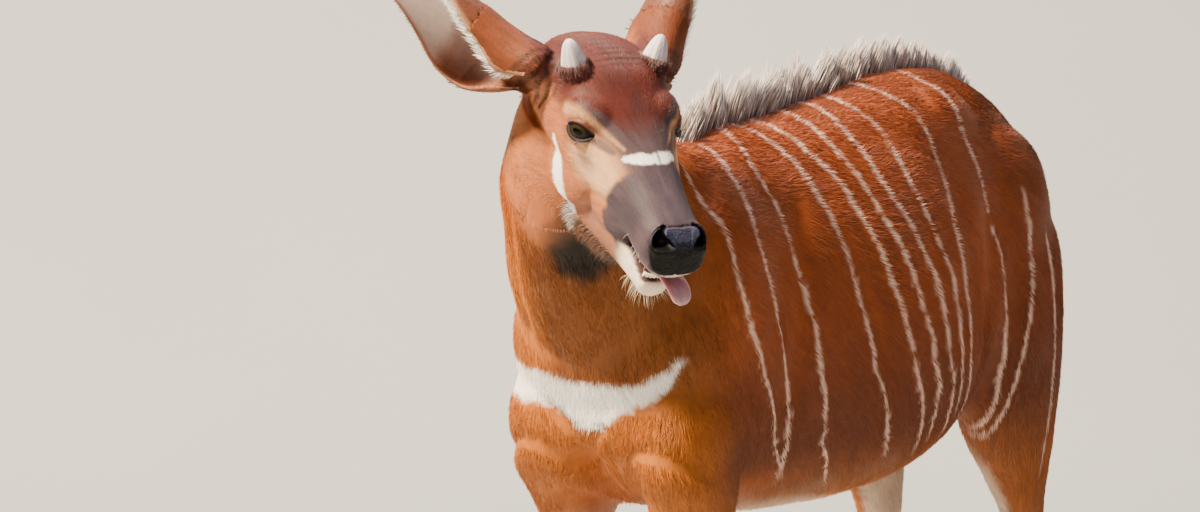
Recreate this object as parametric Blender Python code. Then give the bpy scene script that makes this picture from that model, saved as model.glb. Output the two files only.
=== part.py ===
"""A bongo calf of about five months, standing, life size.

The calf's own frame: +X is its left, -Y is ahead of it, +Z is up and the floor is at 0.
The trunk, neck, head and legs are lofts through a few named sections. They are fused into
one body and then parted by thin planar cuts, so that every part meets its neighbour face to
face. Lengths are in metres.
"""

import math
import random

import bmesh
import bpy
import numpy as np
from mathutils import Matrix, Vector

GAP = 0.0003
CENTRE_X = 0.0282
CENTRE_Y = -0.0531

TRUNK_SEGMENTS = 40
LIMB_SEGMENTS = 24
BODY_VOXEL = 0.0062
HEAD_VOXEL = 0.0032
BODY_SHARE = 0.040
HEAD_SHARE = 0.022

# The trunk, breast to buttock: y, back line, belly line, half width, squareness.
WIDEST_SHARE = 0.36
TRUNK = (
    (-0.415, 0.715, 0.560, 0.078, 2.2),
    (-0.370, 0.790, 0.520, 0.118, 2.2),
    (-0.300, 0.858, 0.490, 0.132, 2.2),
    (-0.200, 0.898, 0.468, 0.136, 2.1),
    (-0.100, 0.906, 0.458, 0.152, 2.1),
    (-0.010, 0.912, 0.454, 0.176, 2.1),
    (0.080, 0.922, 0.458, 0.184, 2.1),
    (0.170, 0.932, 0.474, 0.170, 2.1),
    (0.260, 0.934, 0.512, 0.148, 2.1),
    (0.345, 0.920, 0.560, 0.134, 2.1),
    (0.415, 0.886, 0.610, 0.116, 2.1),
    (0.462, 0.830, 0.660, 0.084, 2.1),
)
BREAST_ROUND = 0.022
BUTTOCK_ROUND = 0.018

# The neck, withers to skull: centre x, y, z, then half width, rise to the crest, drop to the throat.
NECK = (
    (0.000, -0.140, 0.700, 0.110, 0.180, 0.180, 0),
    (0.000, -0.255, 0.730, 0.124, 0.172, 0.185, 3),
    (-0.006, -0.350, 0.780, 0.116, 0.142, 0.155, 8),
    (-0.002, -0.415, 0.840, 0.096, 0.117, 0.122, 14),
    (0.012, -0.455, 0.900, 0.082, 0.094, 0.096, 24),
    (0.032, -0.482, 0.955, 0.066, 0.070, 0.074, 40),
)

# A left leg, downwards: height, x, y, half width, reach ahead, reach behind.
FORELEG = (
    (0.690, 0.066, -0.320, 0.040, 0.060, 0.070),
    (0.620, 0.080, -0.345, 0.046, 0.074, 0.080),
    (0.565, 0.086, -0.340, 0.047, 0.074, 0.080),
    (0.515, 0.087, -0.326, 0.043, 0.064, 0.070),
    (0.460, 0.084, -0.315, 0.036, 0.047, 0.050),
    (0.400, 0.081, -0.309, 0.0290, 0.0340, 0.0340),
    (0.350, 0.079, -0.307, 0.0265, 0.0280, 0.0275),
    (0.315, 0.078, -0.308, 0.0280, 0.0290, 0.0270),
    (0.283, 0.077, -0.306, 0.0250, 0.0245, 0.0240),
    (0.250, 0.076, -0.304, 0.0190, 0.0190, 0.0205),
    (0.170, 0.075, -0.303, 0.0178, 0.0172, 0.0200),
    (0.130, 0.075, -0.304, 0.0200, 0.0190, 0.0230),
    (0.105, 0.075, -0.307, 0.0245, 0.0220, 0.0255),
    (0.080, 0.075, -0.315, 0.0220, 0.0200, 0.0210),
    (0.060, 0.075, -0.322, 0.0258, 0.0235, 0.0225),
    (0.040, 0.075, -0.328, 0.0280, 0.0255, 0.0235),
)
HINDLEG = (
    (0.800, 0.066, 0.350, 0.050, 0.080, 0.085),
    (0.720, 0.084, 0.345, 0.062, 0.105, 0.118),
    (0.640, 0.092, 0.335, 0.062, 0.110, 0.130),
    (0.570, 0.094, 0.335, 0.055, 0.100, 0.124),
    (0.505, 0.092, 0.350, 0.046, 0.084, 0.102),
    (0.450, 0.088, 0.372, 0.037, 0.060, 0.072),
    (0.400, 0.084, 0.393, 0.0285, 0.0380, 0.0470),
    (0.355, 0.082, 0.403, 0.0255, 0.0275, 0.0300),
    (0.305, 0.080, 0.400, 0.0205, 0.0205, 0.0230),
    (0.220, 0.079, 0.389, 0.0188, 0.0185, 0.0210),
    (0.145, 0.078, 0.377, 0.0198, 0.0190, 0.0222),
    (0.112, 0.078, 0.371, 0.0245, 0.0220, 0.0258),
    (0.085, 0.078, 0.362, 0.0220, 0.0200, 0.0210),
    (0.062, 0.078, 0.354, 0.0258, 0.0235, 0.0225),
    (0.040, 0.078, 0.348, 0.0280, 0.0255, 0.0235),
)
SHEAR_TOP = 0.66
STRIDE = {"foreleg_left": -0.120, "foreleg_right": 0.020, "hindleg_left": 0.060, "hindleg_right": -0.070}

# The head's own frame: f ahead along the face, l to its left, u out of the forehead.
HEAD_AT = Vector((0.050, -0.500, 0.9775))
HEAD_TURN = math.radians(60)
HEAD_DROP = math.radians(34)
# The skull and upper jaw: f, u of the widest level, half width, rise, drop, squareness.
SKULL = (
    (-0.055, -0.008, 0.044, 0.038, 0.046, 2.1),
    (-0.022, 0.000, 0.060, 0.052, 0.058, 2.4),
    (0.014, 0.005, 0.065, 0.056, 0.062, 2.6),
    (0.050, 0.005, 0.065, 0.056, 0.062, 2.6),
    (0.086, 0.000, 0.061, 0.048, 0.058, 2.5),
    (0.118, -0.006, 0.051, 0.042, 0.050, 2.4),
    (0.150, -0.012, 0.042, 0.037, 0.042, 2.3),
    (0.180, -0.017, 0.0375, 0.0340, 0.0360, 2.3),
    (0.208, -0.021, 0.0355, 0.0315, 0.0320, 2.4),
    (0.234, -0.024, 0.0355, 0.0295, 0.0300, 2.5),
    (0.252, -0.027, 0.0320, 0.0255, 0.0265, 2.4),
)
NOSE_ROUND = 0.008
JAW = (
    (0.000, -0.050, 0.036, 0.030, 0.040, 2.0),
    (0.030, -0.062, 0.040, 0.035, 0.051, 2.0),
    (0.060, -0.068, 0.040, 0.035, 0.057, 2.0),
    (0.100, -0.070, 0.036, 0.032, 0.055, 2.0),
    (0.140, -0.070, 0.029, 0.026, 0.045, 2.0),
    (0.175, -0.073, 0.0225, 0.0195, 0.0335, 2.0),
    (0.205, -0.078, 0.0200, 0.0125, 0.0235, 2.2),
    (0.227, -0.083, 0.0185, 0.0100, 0.0165, 2.2),
)
CHIN_ROUND = 0.008

# Rounded muscles and bones that show through: centre, three half lengths, turn about X in degrees.
SHOULDER = ((0.076, -0.275, 0.690), (0.066, 0.095, 0.165), 24)
POINT_OF_SHOULDER = ((0.066, -0.352, 0.590), (0.070, 0.074, 0.088), 20)
BREAST = ((0.000, -0.358, 0.668), (0.125, 0.094, 0.146), 20)
HAUNCH = ((0.070, 0.330, 0.740), (0.078, 0.125, 0.130), -15)
HIP = ((0.050, 0.225, 0.870), (0.056, 0.080, 0.050), 0)

# An incisor, upwards: height over the gum, half width, half thickness.
INCISOR = (
    (-0.008, 0.0012, 0.0012),
    (0.0, 0.0016, 0.0013),
    (0.0042, 0.0019, 0.0008),
)
EYE_AT = (0.086, 0.0460, 0.014)
EYE_RADIUS = 0.0180
EYE_TURN_OUT = math.radians(62)
EYE_TILT = 0.16
EYE_OPENING = (0.0168, 0.0072)
LID = 0.0026
BROW = ((0.074, 0.034, 0.022), (0.036, 0.0310, 0.026))
CHEEK = ((0.070, 0.036, -0.048), (0.048, 0.019, 0.040))
LIP = ((0.134, 0.0200, -0.044), (0.052, 0.0180, 0.032))
NOSTRIL_WING = ((0.236, 0.0195, -0.009), (0.018, 0.0135, 0.0135))

HORN_AT = (0.032, 0.045, 0.047)
HORN_LENGTH = 0.037
HORN_RADIUS = 0.0162
HORN_TAPER = 0.56
HORN_LEAN = Vector((-0.43, 0.30, 0.85))
PEDICLE = 0.012

# The ears: where each leaves the skull, its own direction and the way its cup opens.
EAR_LENGTH = 0.225
EAR_WALL = 0.0046
EAR_STUMP = 0.034
EAR_STATIONS = 14
EAR_RIGHT = ((-0.012, -0.070, 0.018), (-0.723, -0.681, 0.114), (0.632, -0.719, -0.288))
EAR_LEFT = ((0.000, 0.071, 0.010), (-0.688, 0.663, 0.295), (0.659, 0.741, -0.131))
# Along an ear: share of its length, half width, depth of the cup, half turn of its wall in degrees,
# lean of the strip to the rear.
EAR = (
    (0.00, 0.0270, 0.0270, 150, 0.0000),
    (0.12, 0.0415, 0.0310, 156, 0.0200),
    (0.25, 0.0545, 0.0340, 134, 0.0340),
    (0.40, 0.0590, 0.0340, 118, 0.0340),
    (0.58, 0.0535, 0.0320, 84, 0.0240),
    (0.76, 0.0400, 0.0240, 62, 0.0085),
    (0.90, 0.0240, 0.0130, 70, 0.0010),
    (1.00, 0.0050, 0.0040, 70, 0.0000),
)

# The crest and the tail's tuft are overlapping locks.
# A lock's shape: share of its length, share of its width.
LOCK_SHAPE = ((0.0, 0.8), (0.25, 1.0), (0.5, 0.95), (0.75, 0.62), (1.0, 0.12))
LOCK_TIP = 0.25
CREST_SEED = 7
CREST_COUNT = 54
CREST_FROM = -0.245
CREST_TO = 0.405
CREST_SUNK = 0.022
CREST_HALF_WIDTH = 0.0095
CREST_HALF_THICK = 0.0024
TUFT_SEED = 11
TUFT_COUNT = 9
TUFT_TOP = 0.600
TUFT_STEP = 0.012
TUFT_Y = 0.510
TUFT_LENGTH = 0.095
TUFT_HALF_WIDTH = 0.0068
TUFT_HALF_THICK = 0.0024

CLAW_HEIGHT = 0.046
CLAW_SPREAD = 0.0142
CLAW_SIDES = 14


def hermite(keys, count):
    """Rows that run smoothly through the key rows, count of them, evenly spread by key number."""
    keys = np.array(keys, float)
    n = len(keys)
    slope = np.gradient(keys, axis=0)
    at = np.linspace(0, n - 1, count)
    low = np.minimum(at.astype(int), n - 2)
    t = (at - low)[:, None]
    a, b, da, db = keys[low], keys[low + 1], slope[low], slope[low + 1]
    return (
        (2 * t**3 - 3 * t**2 + 1) * a
        + (t**3 - 2 * t**2 + t) * da
        + (-2 * t**3 + 3 * t**2) * b
        + (t**3 - t**2) * db
    )


def section(centre, side, up, half, rise, drop, power, segments):
    """One closed ring: a squared ellipse with its own reach up and down."""
    angle = np.linspace(0, 2 * math.pi, segments, endpoint=False)
    c, s = np.cos(angle), np.sin(angle)
    x = half * np.sign(c) * np.abs(c) ** (2 / power)
    y = np.where(s > 0, rise, drop) * np.sign(s) * np.abs(s) ** (2 / power)
    return centre + np.outer(x, side) + np.outer(y, up)


def rounded(rows, reach, along):
    """Extra end sections that close a loft in a quarter ellipse of this reach."""
    added = []
    for angle in (0.45, 0.85, 1.2):
        row = list(rows)
        row[0] = rows[0] + along * reach * math.sin(angle)
        for i in (2, 3, 4):
            row[i] = rows[i] * math.cos(angle)
        added.append(row)
    return added


def tube(name, rings, strip=False):
    """A closed mesh through rings of equal length, with a fan at each end, or a strip on a bent ring."""
    rings = np.array(rings)
    count, segments = rings.shape[:2]
    verts = rings.reshape(-1, 3).tolist()
    first, last = len(verts), len(verts) + 1
    faces = []
    for i in range(count - 1):
        for j in range(segments):
            k = (j + 1) % segments
            here, above = i * segments, (i + 1) * segments
            faces.append((here + j, here + k, above + k, above + j))
    if strip:
        top = (count - 1) * segments
        for j in range(segments // 2 - 1):
            k = segments - 1 - j
            faces.append((j + 1, j, k, k - 1))
            faces.append((top + j, top + j + 1, top + k - 1, top + k))
        return closed_object(name, verts, faces)
    verts += [rings[0].mean(0).tolist(), rings[-1].mean(0).tolist()]
    for j in range(segments):
        k = (j + 1) % segments
        faces.append((first, k, j))
        faces.append((last, (count - 1) * segments + j, (count - 1) * segments + k))
    return closed_object(name, verts, faces)


def closed_object(name, verts, faces):
    """A mesh object whose faces all point out."""
    mesh = bpy.data.meshes.new(name)
    mesh.from_pydata([tuple(v) for v in verts], [], faces)
    bm = bmesh.new()
    bm.from_mesh(mesh)
    bmesh.ops.recalc_face_normals(bm, faces=bm.faces)
    if bm.calc_volume(signed=True) < 0:
        bmesh.ops.reverse_faces(bm, faces=bm.faces)
    bm.to_mesh(mesh)
    bm.free()
    made = bpy.data.objects.new(name, mesh)
    bpy.context.scene.collection.objects.link(made)
    return made


def ellipsoid(name, centre, half, turn=0.0, segments=32):
    """A ball stretched to three half lengths and turned about X."""
    mesh = bpy.data.meshes.new(name)
    bm = bmesh.new()
    bmesh.ops.create_uvsphere(bm, u_segments=segments, v_segments=segments // 2, radius=1.0)
    place = Matrix.Translation(Vector(centre)) @ Matrix.Rotation(math.radians(turn), 4, "X")
    bm.transform(place @ Matrix.Diagonal((*half, 1.0)))
    bm.to_mesh(mesh)
    bm.free()
    made = bpy.data.objects.new(name, mesh)
    bpy.context.scene.collection.objects.link(made)
    return made


def fix(obj):
    """Puts the object's modifiers and its placing into its mesh."""
    bpy.context.view_layer.update()
    graph = bpy.context.evaluated_depsgraph_get()
    mesh = bpy.data.meshes.new_from_object(obj.evaluated_get(graph))
    mesh.transform(obj.matrix_world)
    obj.modifiers.clear()
    obj.data = mesh
    obj.matrix_world = Matrix.Identity(4)
    return obj


def boolean(obj, other, operation, solver="EXACT"):
    """Applies one Boolean between two mesh objects, and keeps the other."""
    step = obj.modifiers.new("join", "BOOLEAN")
    step.operation = operation
    step.solver = solver
    step.object = other
    return fix(obj)


def fuse(obj, others, solver="EXACT"):
    """Joins closed pieces to the object by one union, and removes them."""
    group = bpy.data.collections.new("pieces")
    bpy.context.scene.collection.children.link(group)
    for other in others:
        bpy.context.scene.collection.objects.unlink(other)
        group.objects.link(other)
    step = obj.modifiers.new("fuse", "BOOLEAN")
    step.operation = "UNION"
    step.solver = solver
    step.operand_type = "COLLECTION"
    step.collection = group
    fix(obj)
    for other in list(group.objects):
        bpy.data.objects.remove(other)
    bpy.data.collections.remove(group)
    return keep_largest(obj)


def join(name, objects):
    """One object that holds the meshes of several, which are removed."""
    bm = bmesh.new()
    for obj in objects:
        bm.from_mesh(obj.data)
        bpy.data.objects.remove(obj)
    mesh = bpy.data.meshes.new(name)
    bm.to_mesh(mesh)
    bm.free()
    made = bpy.data.objects.new(name, mesh)
    bpy.context.scene.collection.objects.link(made)
    return made


def copy_of(obj, name):
    made = bpy.data.objects.new(name, obj.data.copy())
    bpy.context.scene.collection.objects.link(made)
    return made


def keep_largest(obj):
    """Drops every closed surface of the object but the one that holds most."""
    bm = bmesh.new()
    bm.from_mesh(obj.data)
    bm.verts.ensure_lookup_table()
    seen, shells = set(), []
    for start in bm.verts:
        if start.index in seen:
            continue
        shell, stack = [], [start]
        seen.add(start.index)
        while stack:
            vert = stack.pop()
            shell.append(vert)
            for edge in vert.link_edges:
                other = edge.other_vert(vert)
                if other.index not in seen:
                    seen.add(other.index)
                    stack.append(other)
        shells.append(shell)
    largest = max(shells, key=shell_volume)
    drop = [v for shell in shells if shell is not largest for v in shell]
    bmesh.ops.delete(bm, geom=drop, context="VERTS")
    bm.to_mesh(obj.data)
    bm.free()
    return obj


def shell_volume(shell):
    total = 0.0
    for face in {f for v in shell for f in v.link_faces}:
        corners = [v.co for v in face.verts]
        for i in range(1, len(corners) - 1):
            total += corners[0].dot(corners[i].cross(corners[i + 1])) / 6
    return total


def blended(name, pieces, voxel, smoothing, share):
    """Fuses lofts into one skin: a smoothed voxel hull of them all, thinned to a share of its faces."""
    made = join(name, pieces)
    hull = made.modifiers.new("hull", "REMESH")
    hull.mode = "VOXEL"
    hull.voxel_size = voxel
    soft = made.modifiers.new("soft", "SMOOTH")
    soft.factor = 0.5
    soft.iterations = smoothing
    thin = made.modifiers.new("thin", "DECIMATE")
    thin.ratio = share
    return keep_largest(fix(made))


def cut(obj, point, normal, name=None):
    """Keeps a closed mesh behind a plane and closes it there, in a new object if it has a name."""
    made = copy_of(obj, name) if name else obj
    bm = bmesh.new()
    bm.from_mesh(made.data)
    geom = bm.verts[:] + bm.edges[:] + bm.faces[:]
    bmesh.ops.bisect_plane(
        bm, geom=geom, dist=1e-6, plane_co=point, plane_no=normal, clear_outer=True
    )
    rim = [e for e in bm.edges if len(e.link_faces) == 1]
    filled = bmesh.ops.holes_fill(bm, edges=rim, sides=0)
    bmesh.ops.triangulate(bm, faces=filled["faces"])
    bmesh.ops.recalc_face_normals(bm, faces=bm.faces)
    bm.to_mesh(made.data)
    bm.free()
    return keep_largest(made)


def head_axes():
    """The head's ahead, left and up directions in the calf's frame."""
    level = Vector((math.sin(HEAD_TURN), -math.cos(HEAD_TURN), 0))
    ahead = math.cos(HEAD_DROP) * level - math.sin(HEAD_DROP) * Vector((0, 0, 1))
    up = math.sin(HEAD_DROP) * level + math.cos(HEAD_DROP) * Vector((0, 0, 1))
    return ahead, up.cross(ahead), up


def head_matrix():
    """Carries (f, l, u) of the head's frame to the calf's."""
    ahead, left, up = head_axes()
    turn = Matrix((ahead, left, up)).transposed().to_4x4()
    return Matrix.Translation(HEAD_AT) @ turn


def in_head(f, l, u):
    return head_matrix() @ Vector((f, l, u))


def trunk_rows():
    """The trunk's sections as (y, widest level, half width, rise, drop, squareness)."""
    rows = []
    for y, back, belly, half, power in TRUNK:
        widest = belly + WIDEST_SHARE * (back - belly)
        rows.append((y, widest, half, back - widest, widest - belly, power))
    return rows


def slices_along(name, rows, start, side, up, along, count, segments, ends):
    """A loft along a straight axis. Rows are (station, level, half, rise, drop, squareness)."""
    rows = hermite(rows, count).tolist()
    if ends[0]:
        rows = rounded(rows[0], ends[0], -1)[::-1] + rows
    if ends[1]:
        rows = rows + rounded(rows[-1], ends[1], 1)
    start, side, up, along = (np.array(v, float) for v in (start, side, up, along))
    rings = [
        section(start + along * f + up * level, side, up, half, rise, drop, power, segments)
        for f, level, half, rise, drop, power in rows
    ]
    return tube(name, rings)


def trunk():
    return slices_along(
        "trunk", trunk_rows(), (0, 0, 0), (1, 0, 0), (0, 0, 1), (0, 1, 0),
        44, TRUNK_SEGMENTS, (BREAST_ROUND, BUTTOCK_ROUND),
    )


def neck_frames(count):
    """The neck's sections: centre, side and crest directions, half width, rise and drop."""
    rows = hermite(NECK, count)
    centres = rows[:, :3]
    along = np.gradient(centres, axis=0)
    turn = np.radians(rows[:, 6])
    side = np.stack((np.cos(turn), np.sin(turn), 0 * turn), axis=1)
    side -= along * ((side * along).sum(1) / (along * along).sum(1))[:, None]
    side /= np.linalg.norm(side, axis=1)[:, None]
    up = np.cross(along, side)
    up *= np.sign(up[:, 2:])
    up /= np.linalg.norm(up, axis=1)[:, None]
    return centres, side, up, rows[:, 3], rows[:, 4], rows[:, 5]


def neck():
    centres, side, up, half, rise, drop = neck_frames(26)
    rings = [
        section(centres[i], side[i], up[i], half[i], rise[i], drop[i], 2.1, TRUNK_SEGMENTS)
        for i in range(len(centres))
    ]
    return tube("neck", rings)


def leg(name):
    """A whole leg down to the top of its claws, sheared below the trunk by its stride."""
    rows = hermite(FORELEG if name.startswith("fore") else HINDLEG, 46)
    mirror = 1 if name.endswith("left") else -1
    side, ahead = np.array((1.0, 0, 0)), np.array((0, -1.0, 0))
    rings = []
    for z, x, y, half, front, back in rows:
        centre = np.array((mirror * x, y + stride_at(name, z), z))
        rings.append(section(centre, side, ahead, half, front, back, 2.1, LIMB_SEGMENTS))
    return tube(name, rings)


def stride_at(name, z):
    return STRIDE[name] * max(0.0, 1 - z / SHEAR_TOP)


def skull():
    ahead, left, up = head_axes()
    return slices_along(
        "skull", SKULL, HEAD_AT, left, up, ahead, 40, TRUNK_SEGMENTS, (0, NOSE_ROUND)
    )


def jaw():
    ahead, left, up = head_axes()
    return slices_along(
        "jaw", JAW, HEAD_AT, left, up, ahead, 32, LIMB_SEGMENTS, (0.01, CHIN_ROUND)
    )


def head_ball(name, spot, mirror):
    (f, l, u), half = spot
    made = ellipsoid(name, (0, 0, 0), half)
    made.data.transform(head_matrix() @ Matrix.Translation(Vector((f, mirror * l, u))))
    return made


def pair_of(name, form, mirror):
    centre, half, turn = form
    return ellipsoid(name, (mirror * centre[0], centre[1], centre[2]), half, turn)


def body_pieces():
    pieces = [trunk(), neck(), ellipsoid("breast", *BREAST), tail_stump()]
    pieces += [leg(name) for name in STRIDE]
    for mirror in (1, -1):
        pieces.append(pair_of("shoulder", SHOULDER, mirror))
        pieces.append(pair_of("point_of_shoulder", POINT_OF_SHOULDER, mirror))
        pieces.append(pair_of("haunch", HAUNCH, mirror))
        pieces.append(pair_of("hip", HIP, mirror))
    pieces.append(skull())
    pieces.append(jaw())
    return pieces


def head_pieces():
    pieces = [skull(), jaw(), neck()]
    for mirror in (1, -1):
        pieces.append(head_ball("brow", BROW, mirror))
        pieces.append(head_ball("cheek", CHEEK, mirror))
        pieces.append(head_ball("lip", LIP, mirror))
        pieces.append(head_ball("nostril_wing", NOSTRIL_WING, mirror))
    return pieces


def head_direction(v):
    ahead, left, up = head_axes()
    return (v[0] * ahead + v[1] * left + v[2] * up).normalized()


def cup_ring(half, depth, turn, centre, wide, back, points=9):
    """A strip bent round: its outer arc, then the inner one a wall's thickness inside it."""
    angle = np.radians(np.linspace(-turn, turn, points))
    spread = math.sin(math.radians(min(turn, 90)))
    ring = []
    for wall, order in ((0.0, 1), (EAR_WALL, -1)):
        across = (half - wall * 0.8) * np.sin(angle) / spread
        behind = (depth - wall) * np.cos(angle)
        ring.append((np.outer(across, wide) + np.outer(behind, back))[::order])
    return centre + np.concatenate(ring)


def ear(name, form):
    """A cupped leaf: a strip bent round at each station, closed to a tube near the skull."""
    root, along, opening = form
    along = np.array(head_direction(along))
    opening = np.array(head_direction(opening))
    opening -= along * along.dot(opening)
    opening /= np.linalg.norm(opening)
    wide = np.cross(along, opening)
    start = np.array(in_head(*root))
    rings = []
    rearwards = wide * math.copysign(1, root[1])
    for share, half, depth, turn, lean in hermite(EAR, EAR_STATIONS):
        bow = 0.012 * math.sin(math.pi * share)
        centre = start + along * EAR_LENGTH * share - opening * bow + rearwards * lean
        rings.append(cup_ring(half, depth, turn, centre, wide, -opening))
    return tube(name, rings, strip=True)


def horn(name, mirror):
    """A blunt bud: round sections that narrow to a rounded tip."""
    f, l, u = HORN_AT
    lean = head_direction((HORN_LEAN.x, mirror * HORN_LEAN.y, HORN_LEAN.z))
    foot = in_head(f, mirror * l, u)
    side = lean.orthogonal().normalized()
    ahead = lean.cross(side)
    rings = []
    for step in (-0.35, 0.0, 0.25, 0.5, 0.7, 0.85, 0.95, 0.99):
        radius = HORN_RADIUS * (1 - HORN_TAPER * max(step, 0)) * math.sqrt(max(1 - max(step, 0) ** 7, 0.02))
        centre = np.array(foot + lean * HORN_LENGTH * step)
        rings.append(section(centre, np.array(side), np.array(ahead), radius, radius, radius, 2, 14))
    return tube(name, rings)


def horn_foot(mirror):
    """The point and direction of the plane where a horn meets the skull."""
    f, l, u = HORN_AT
    lean = head_direction((HORN_LEAN.x, mirror * HORN_LEAN.y, HORN_LEAN.z))
    return in_head(f, mirror * l, u) + lean * PEDICLE, lean


def claw(name, leg_name, mirror, inner):
    """Half a cloven hoof: D-shaped sections from the flat sole to the band under the hair."""
    rows = FORELEG if leg_name.startswith("fore") else HINDLEG
    foot_y = rows[-1][2] + stride_at(leg_name, 0.02)
    foot_x = mirror * rows[-1][1]
    rings = []
    for height, ahead, behind, half, shift in (
        (0.0, 0.040, 0.030, 0.0140, -0.010),
        (0.004, 0.0405, 0.0305, 0.0142, -0.010),
        (0.022, 0.032, 0.028, 0.0138, -0.004),
        (CLAW_HEIGHT - GAP, 0.0235, 0.0235, 0.0128, 0.002),
    ):
        angle = np.linspace(0, 2 * math.pi, CLAW_SIDES, endpoint=False)
        x = half * np.cos(angle)
        flat = np.where(x * inner > 0, 0.82, 1.0)
        y = np.where(np.sin(angle) > 0, behind, ahead) * np.sin(angle) + shift
        centre_x = foot_x - inner * CLAW_SPREAD
        ring = np.stack((centre_x + x * flat, foot_y + y, np.full(CLAW_SIDES, height)), axis=1)
        rings.append(ring)
    return tube(name, rings)


def lens(name, centre, axis, wide, high, half_width, half_height, reach):
    """An almond-shaped bar along the axis: two arcs that meet in corners."""
    outline = []
    for sign in (1, -1):
        for step in np.linspace(-1, 1, 9)[:-1]:
            outline.append((sign * step * half_width, sign * (1 - step * step) * half_height))
    rings = []
    for depth in (0.0, reach):
        rings.append([np.array(centre + axis * depth + wide * x + high * y) for x, y in outline[::-1]])
    return tube(name, rings)


def eyeball(name, mirror, radius):
    f, l, u = EYE_AT
    return ellipsoid(name, in_head(f, mirror * l, u), (radius,) * 3, segments=16)


def eye_axes(mirror):
    """Out of the eye, along its opening towards the nose, and up across it."""
    out = Vector((math.cos(EYE_TURN_OUT), mirror * math.sin(EYE_TURN_OUT), 0.20)).normalized()
    wide = Vector((math.sin(EYE_TURN_OUT), -mirror * math.cos(EYE_TURN_OUT), EYE_TILT)).normalized()
    wide = (wide - out * out.dot(wide)).normalized()
    high = out.cross(wide) * mirror
    return [head_direction(v) for v in (out, wide, high)]


def tongue(name, grown=0.0):
    """A flat tongue that leaves the mouth over the lower lip and droops to a round tip."""
    path = (
        (0.172, 0.002, -0.0600, 0.0100, 0.0042),
        (0.205, 0.004, -0.0600, 0.0125, 0.0042),
        (0.232, 0.007, -0.0618, 0.0135, 0.0038),
        (0.250, 0.010, -0.0640, 0.0135, 0.0034),
        (0.260, 0.012, -0.0680, 0.0125, 0.0030),
        (0.265, 0.014, -0.0735, 0.0100, 0.0026),
        (0.267, 0.015, -0.0780, 0.0045, 0.0020),
    )
    rows = hermite(path, 12)
    along = np.gradient(rows[:, :3], axis=0)
    rings = []
    for (f, l, u, half, thick), way in zip(rows, along):
        way = way / np.linalg.norm(way)
        side = np.array((0.0, 1.0, 0.0)) - way * way[1]
        side /= np.linalg.norm(side)
        up = np.cross(way, side)
        ring = section(np.array((f, l, u)), side, up, half + grown, thick + grown, thick + grown, 2.4, 10)
        rings.append([tuple(in_head(*point)) for point in ring])
    return tube(name, rings)


def tail_stump():
    """The tail's first stretch, which the trunk keeps up to the cut."""
    stump = tail("tail_stump")
    return cut(stump, TAIL_CUT + Vector((0, 0.01, 0)), Vector((0, 1, 0)))


def tail(name):
    """A thin tail that leaves the croup level and then hangs clear of the buttocks."""
    path = (
        (0.440, 0.836, 0.0215),
        (0.478, 0.830, 0.0190),
        (0.506, 0.808, 0.0160),
        (0.516, 0.760, 0.0130),
        (0.515, 0.700, 0.0110),
        (0.512, 0.640, 0.0100),
        (0.510, 0.590, 0.0135),
        (0.509, 0.545, 0.0115),
        (0.508, 0.510, 0.0040),
    )
    rows = hermite(path, 17)
    along = np.gradient(rows[:, :2], axis=0)
    rings = []
    for (y, z, radius), (dy, dz) in zip(rows, along):
        length = math.hypot(dy, dz)
        across = np.array((0, -dz / length, dy / length))
        centre = np.array((0, y, z))
        side = np.array((1.0, 0, 0))
        rings.append(section(centre, side, across, radius, radius, radius, 2, 10))
    return tube(name, rings)


def wedge(name, mirror, x_in, x_out, y_front, y_back, z_in, z_out, grown):
    """A bar along Y under a top that rises outwards, grown on the sides that part two pieces."""
    outline = ((x_in - grown, -0.1), (x_out, -0.1), (x_out, z_out + grown), (x_in - grown, z_in + grown))
    rings = [
        [(mirror * x, y, z) for x, z in outline]
        for y in (y_front - grown, y_back + grown)
    ]
    return tube(name, rings)


LEG_CUTS = {
    "foreleg": (0.022, 0.30, -0.62, -0.215, 0.436, 0.700),
    "hindleg": (0.006, 0.30, 0.185, 0.62, 0.500, 0.860),
}
KNEE = {"foreleg": ((0, 0, 0.338), (0, 0, 1)), "hindleg": ((0, 0.40, 0.392), (0, 0.45, 0.89))}
ANKLE_CUT = CLAW_HEIGHT
NECK_CUT = (Vector((0, -0.335, 0.79)), Vector((0, -0.807, 0.590)))
HEAD_CUT_NORMAL = Vector((0.48, -0.60, 0.64))
HEAD_CUT_AT = (-0.012, 0.0, -0.118)
TAIL_CUT = Vector((0, 0.487, 0.826))


def halves(obj, point, normal, ahead_name, behind_name):
    """Parts a closed piece at a plane, with the gap between the two."""
    normal = normal.normalized()
    ahead = cut(obj, point + normal * GAP / 2, -normal, ahead_name)
    behind = cut(obj, point - normal * GAP / 2, normal, behind_name)
    bpy.data.objects.remove(obj)
    return ahead, behind


def part_legs(body):
    """Takes the four legs off the trunk and parts each at its knee or hock."""
    for name in STRIDE:
        kind = name.split("_")[0]
        mirror = 1 if name.endswith("left") else -1
        bar = wedge("bar", mirror, *LEG_CUTS[kind], 0.0)
        whole = copy_of(body, "whole")
        keep_largest(boolean(whole, bar, "INTERSECT"))
        bpy.data.objects.remove(bar)
        bar = wedge("bar", mirror, *LEG_CUTS[kind], GAP)
        keep_largest(boolean(body, bar, "DIFFERENCE"))
        bpy.data.objects.remove(bar)
        cut(whole, Vector((0, 0, ANKLE_CUT)), Vector((0, 0, -1)))
        point, normal = KNEE[kind]
        point = Vector(point) + Vector((0, stride_at(name, point[2]), 0))
        halves(whole, point, Vector(normal), name + "_upper", name + "_lower")


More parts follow.
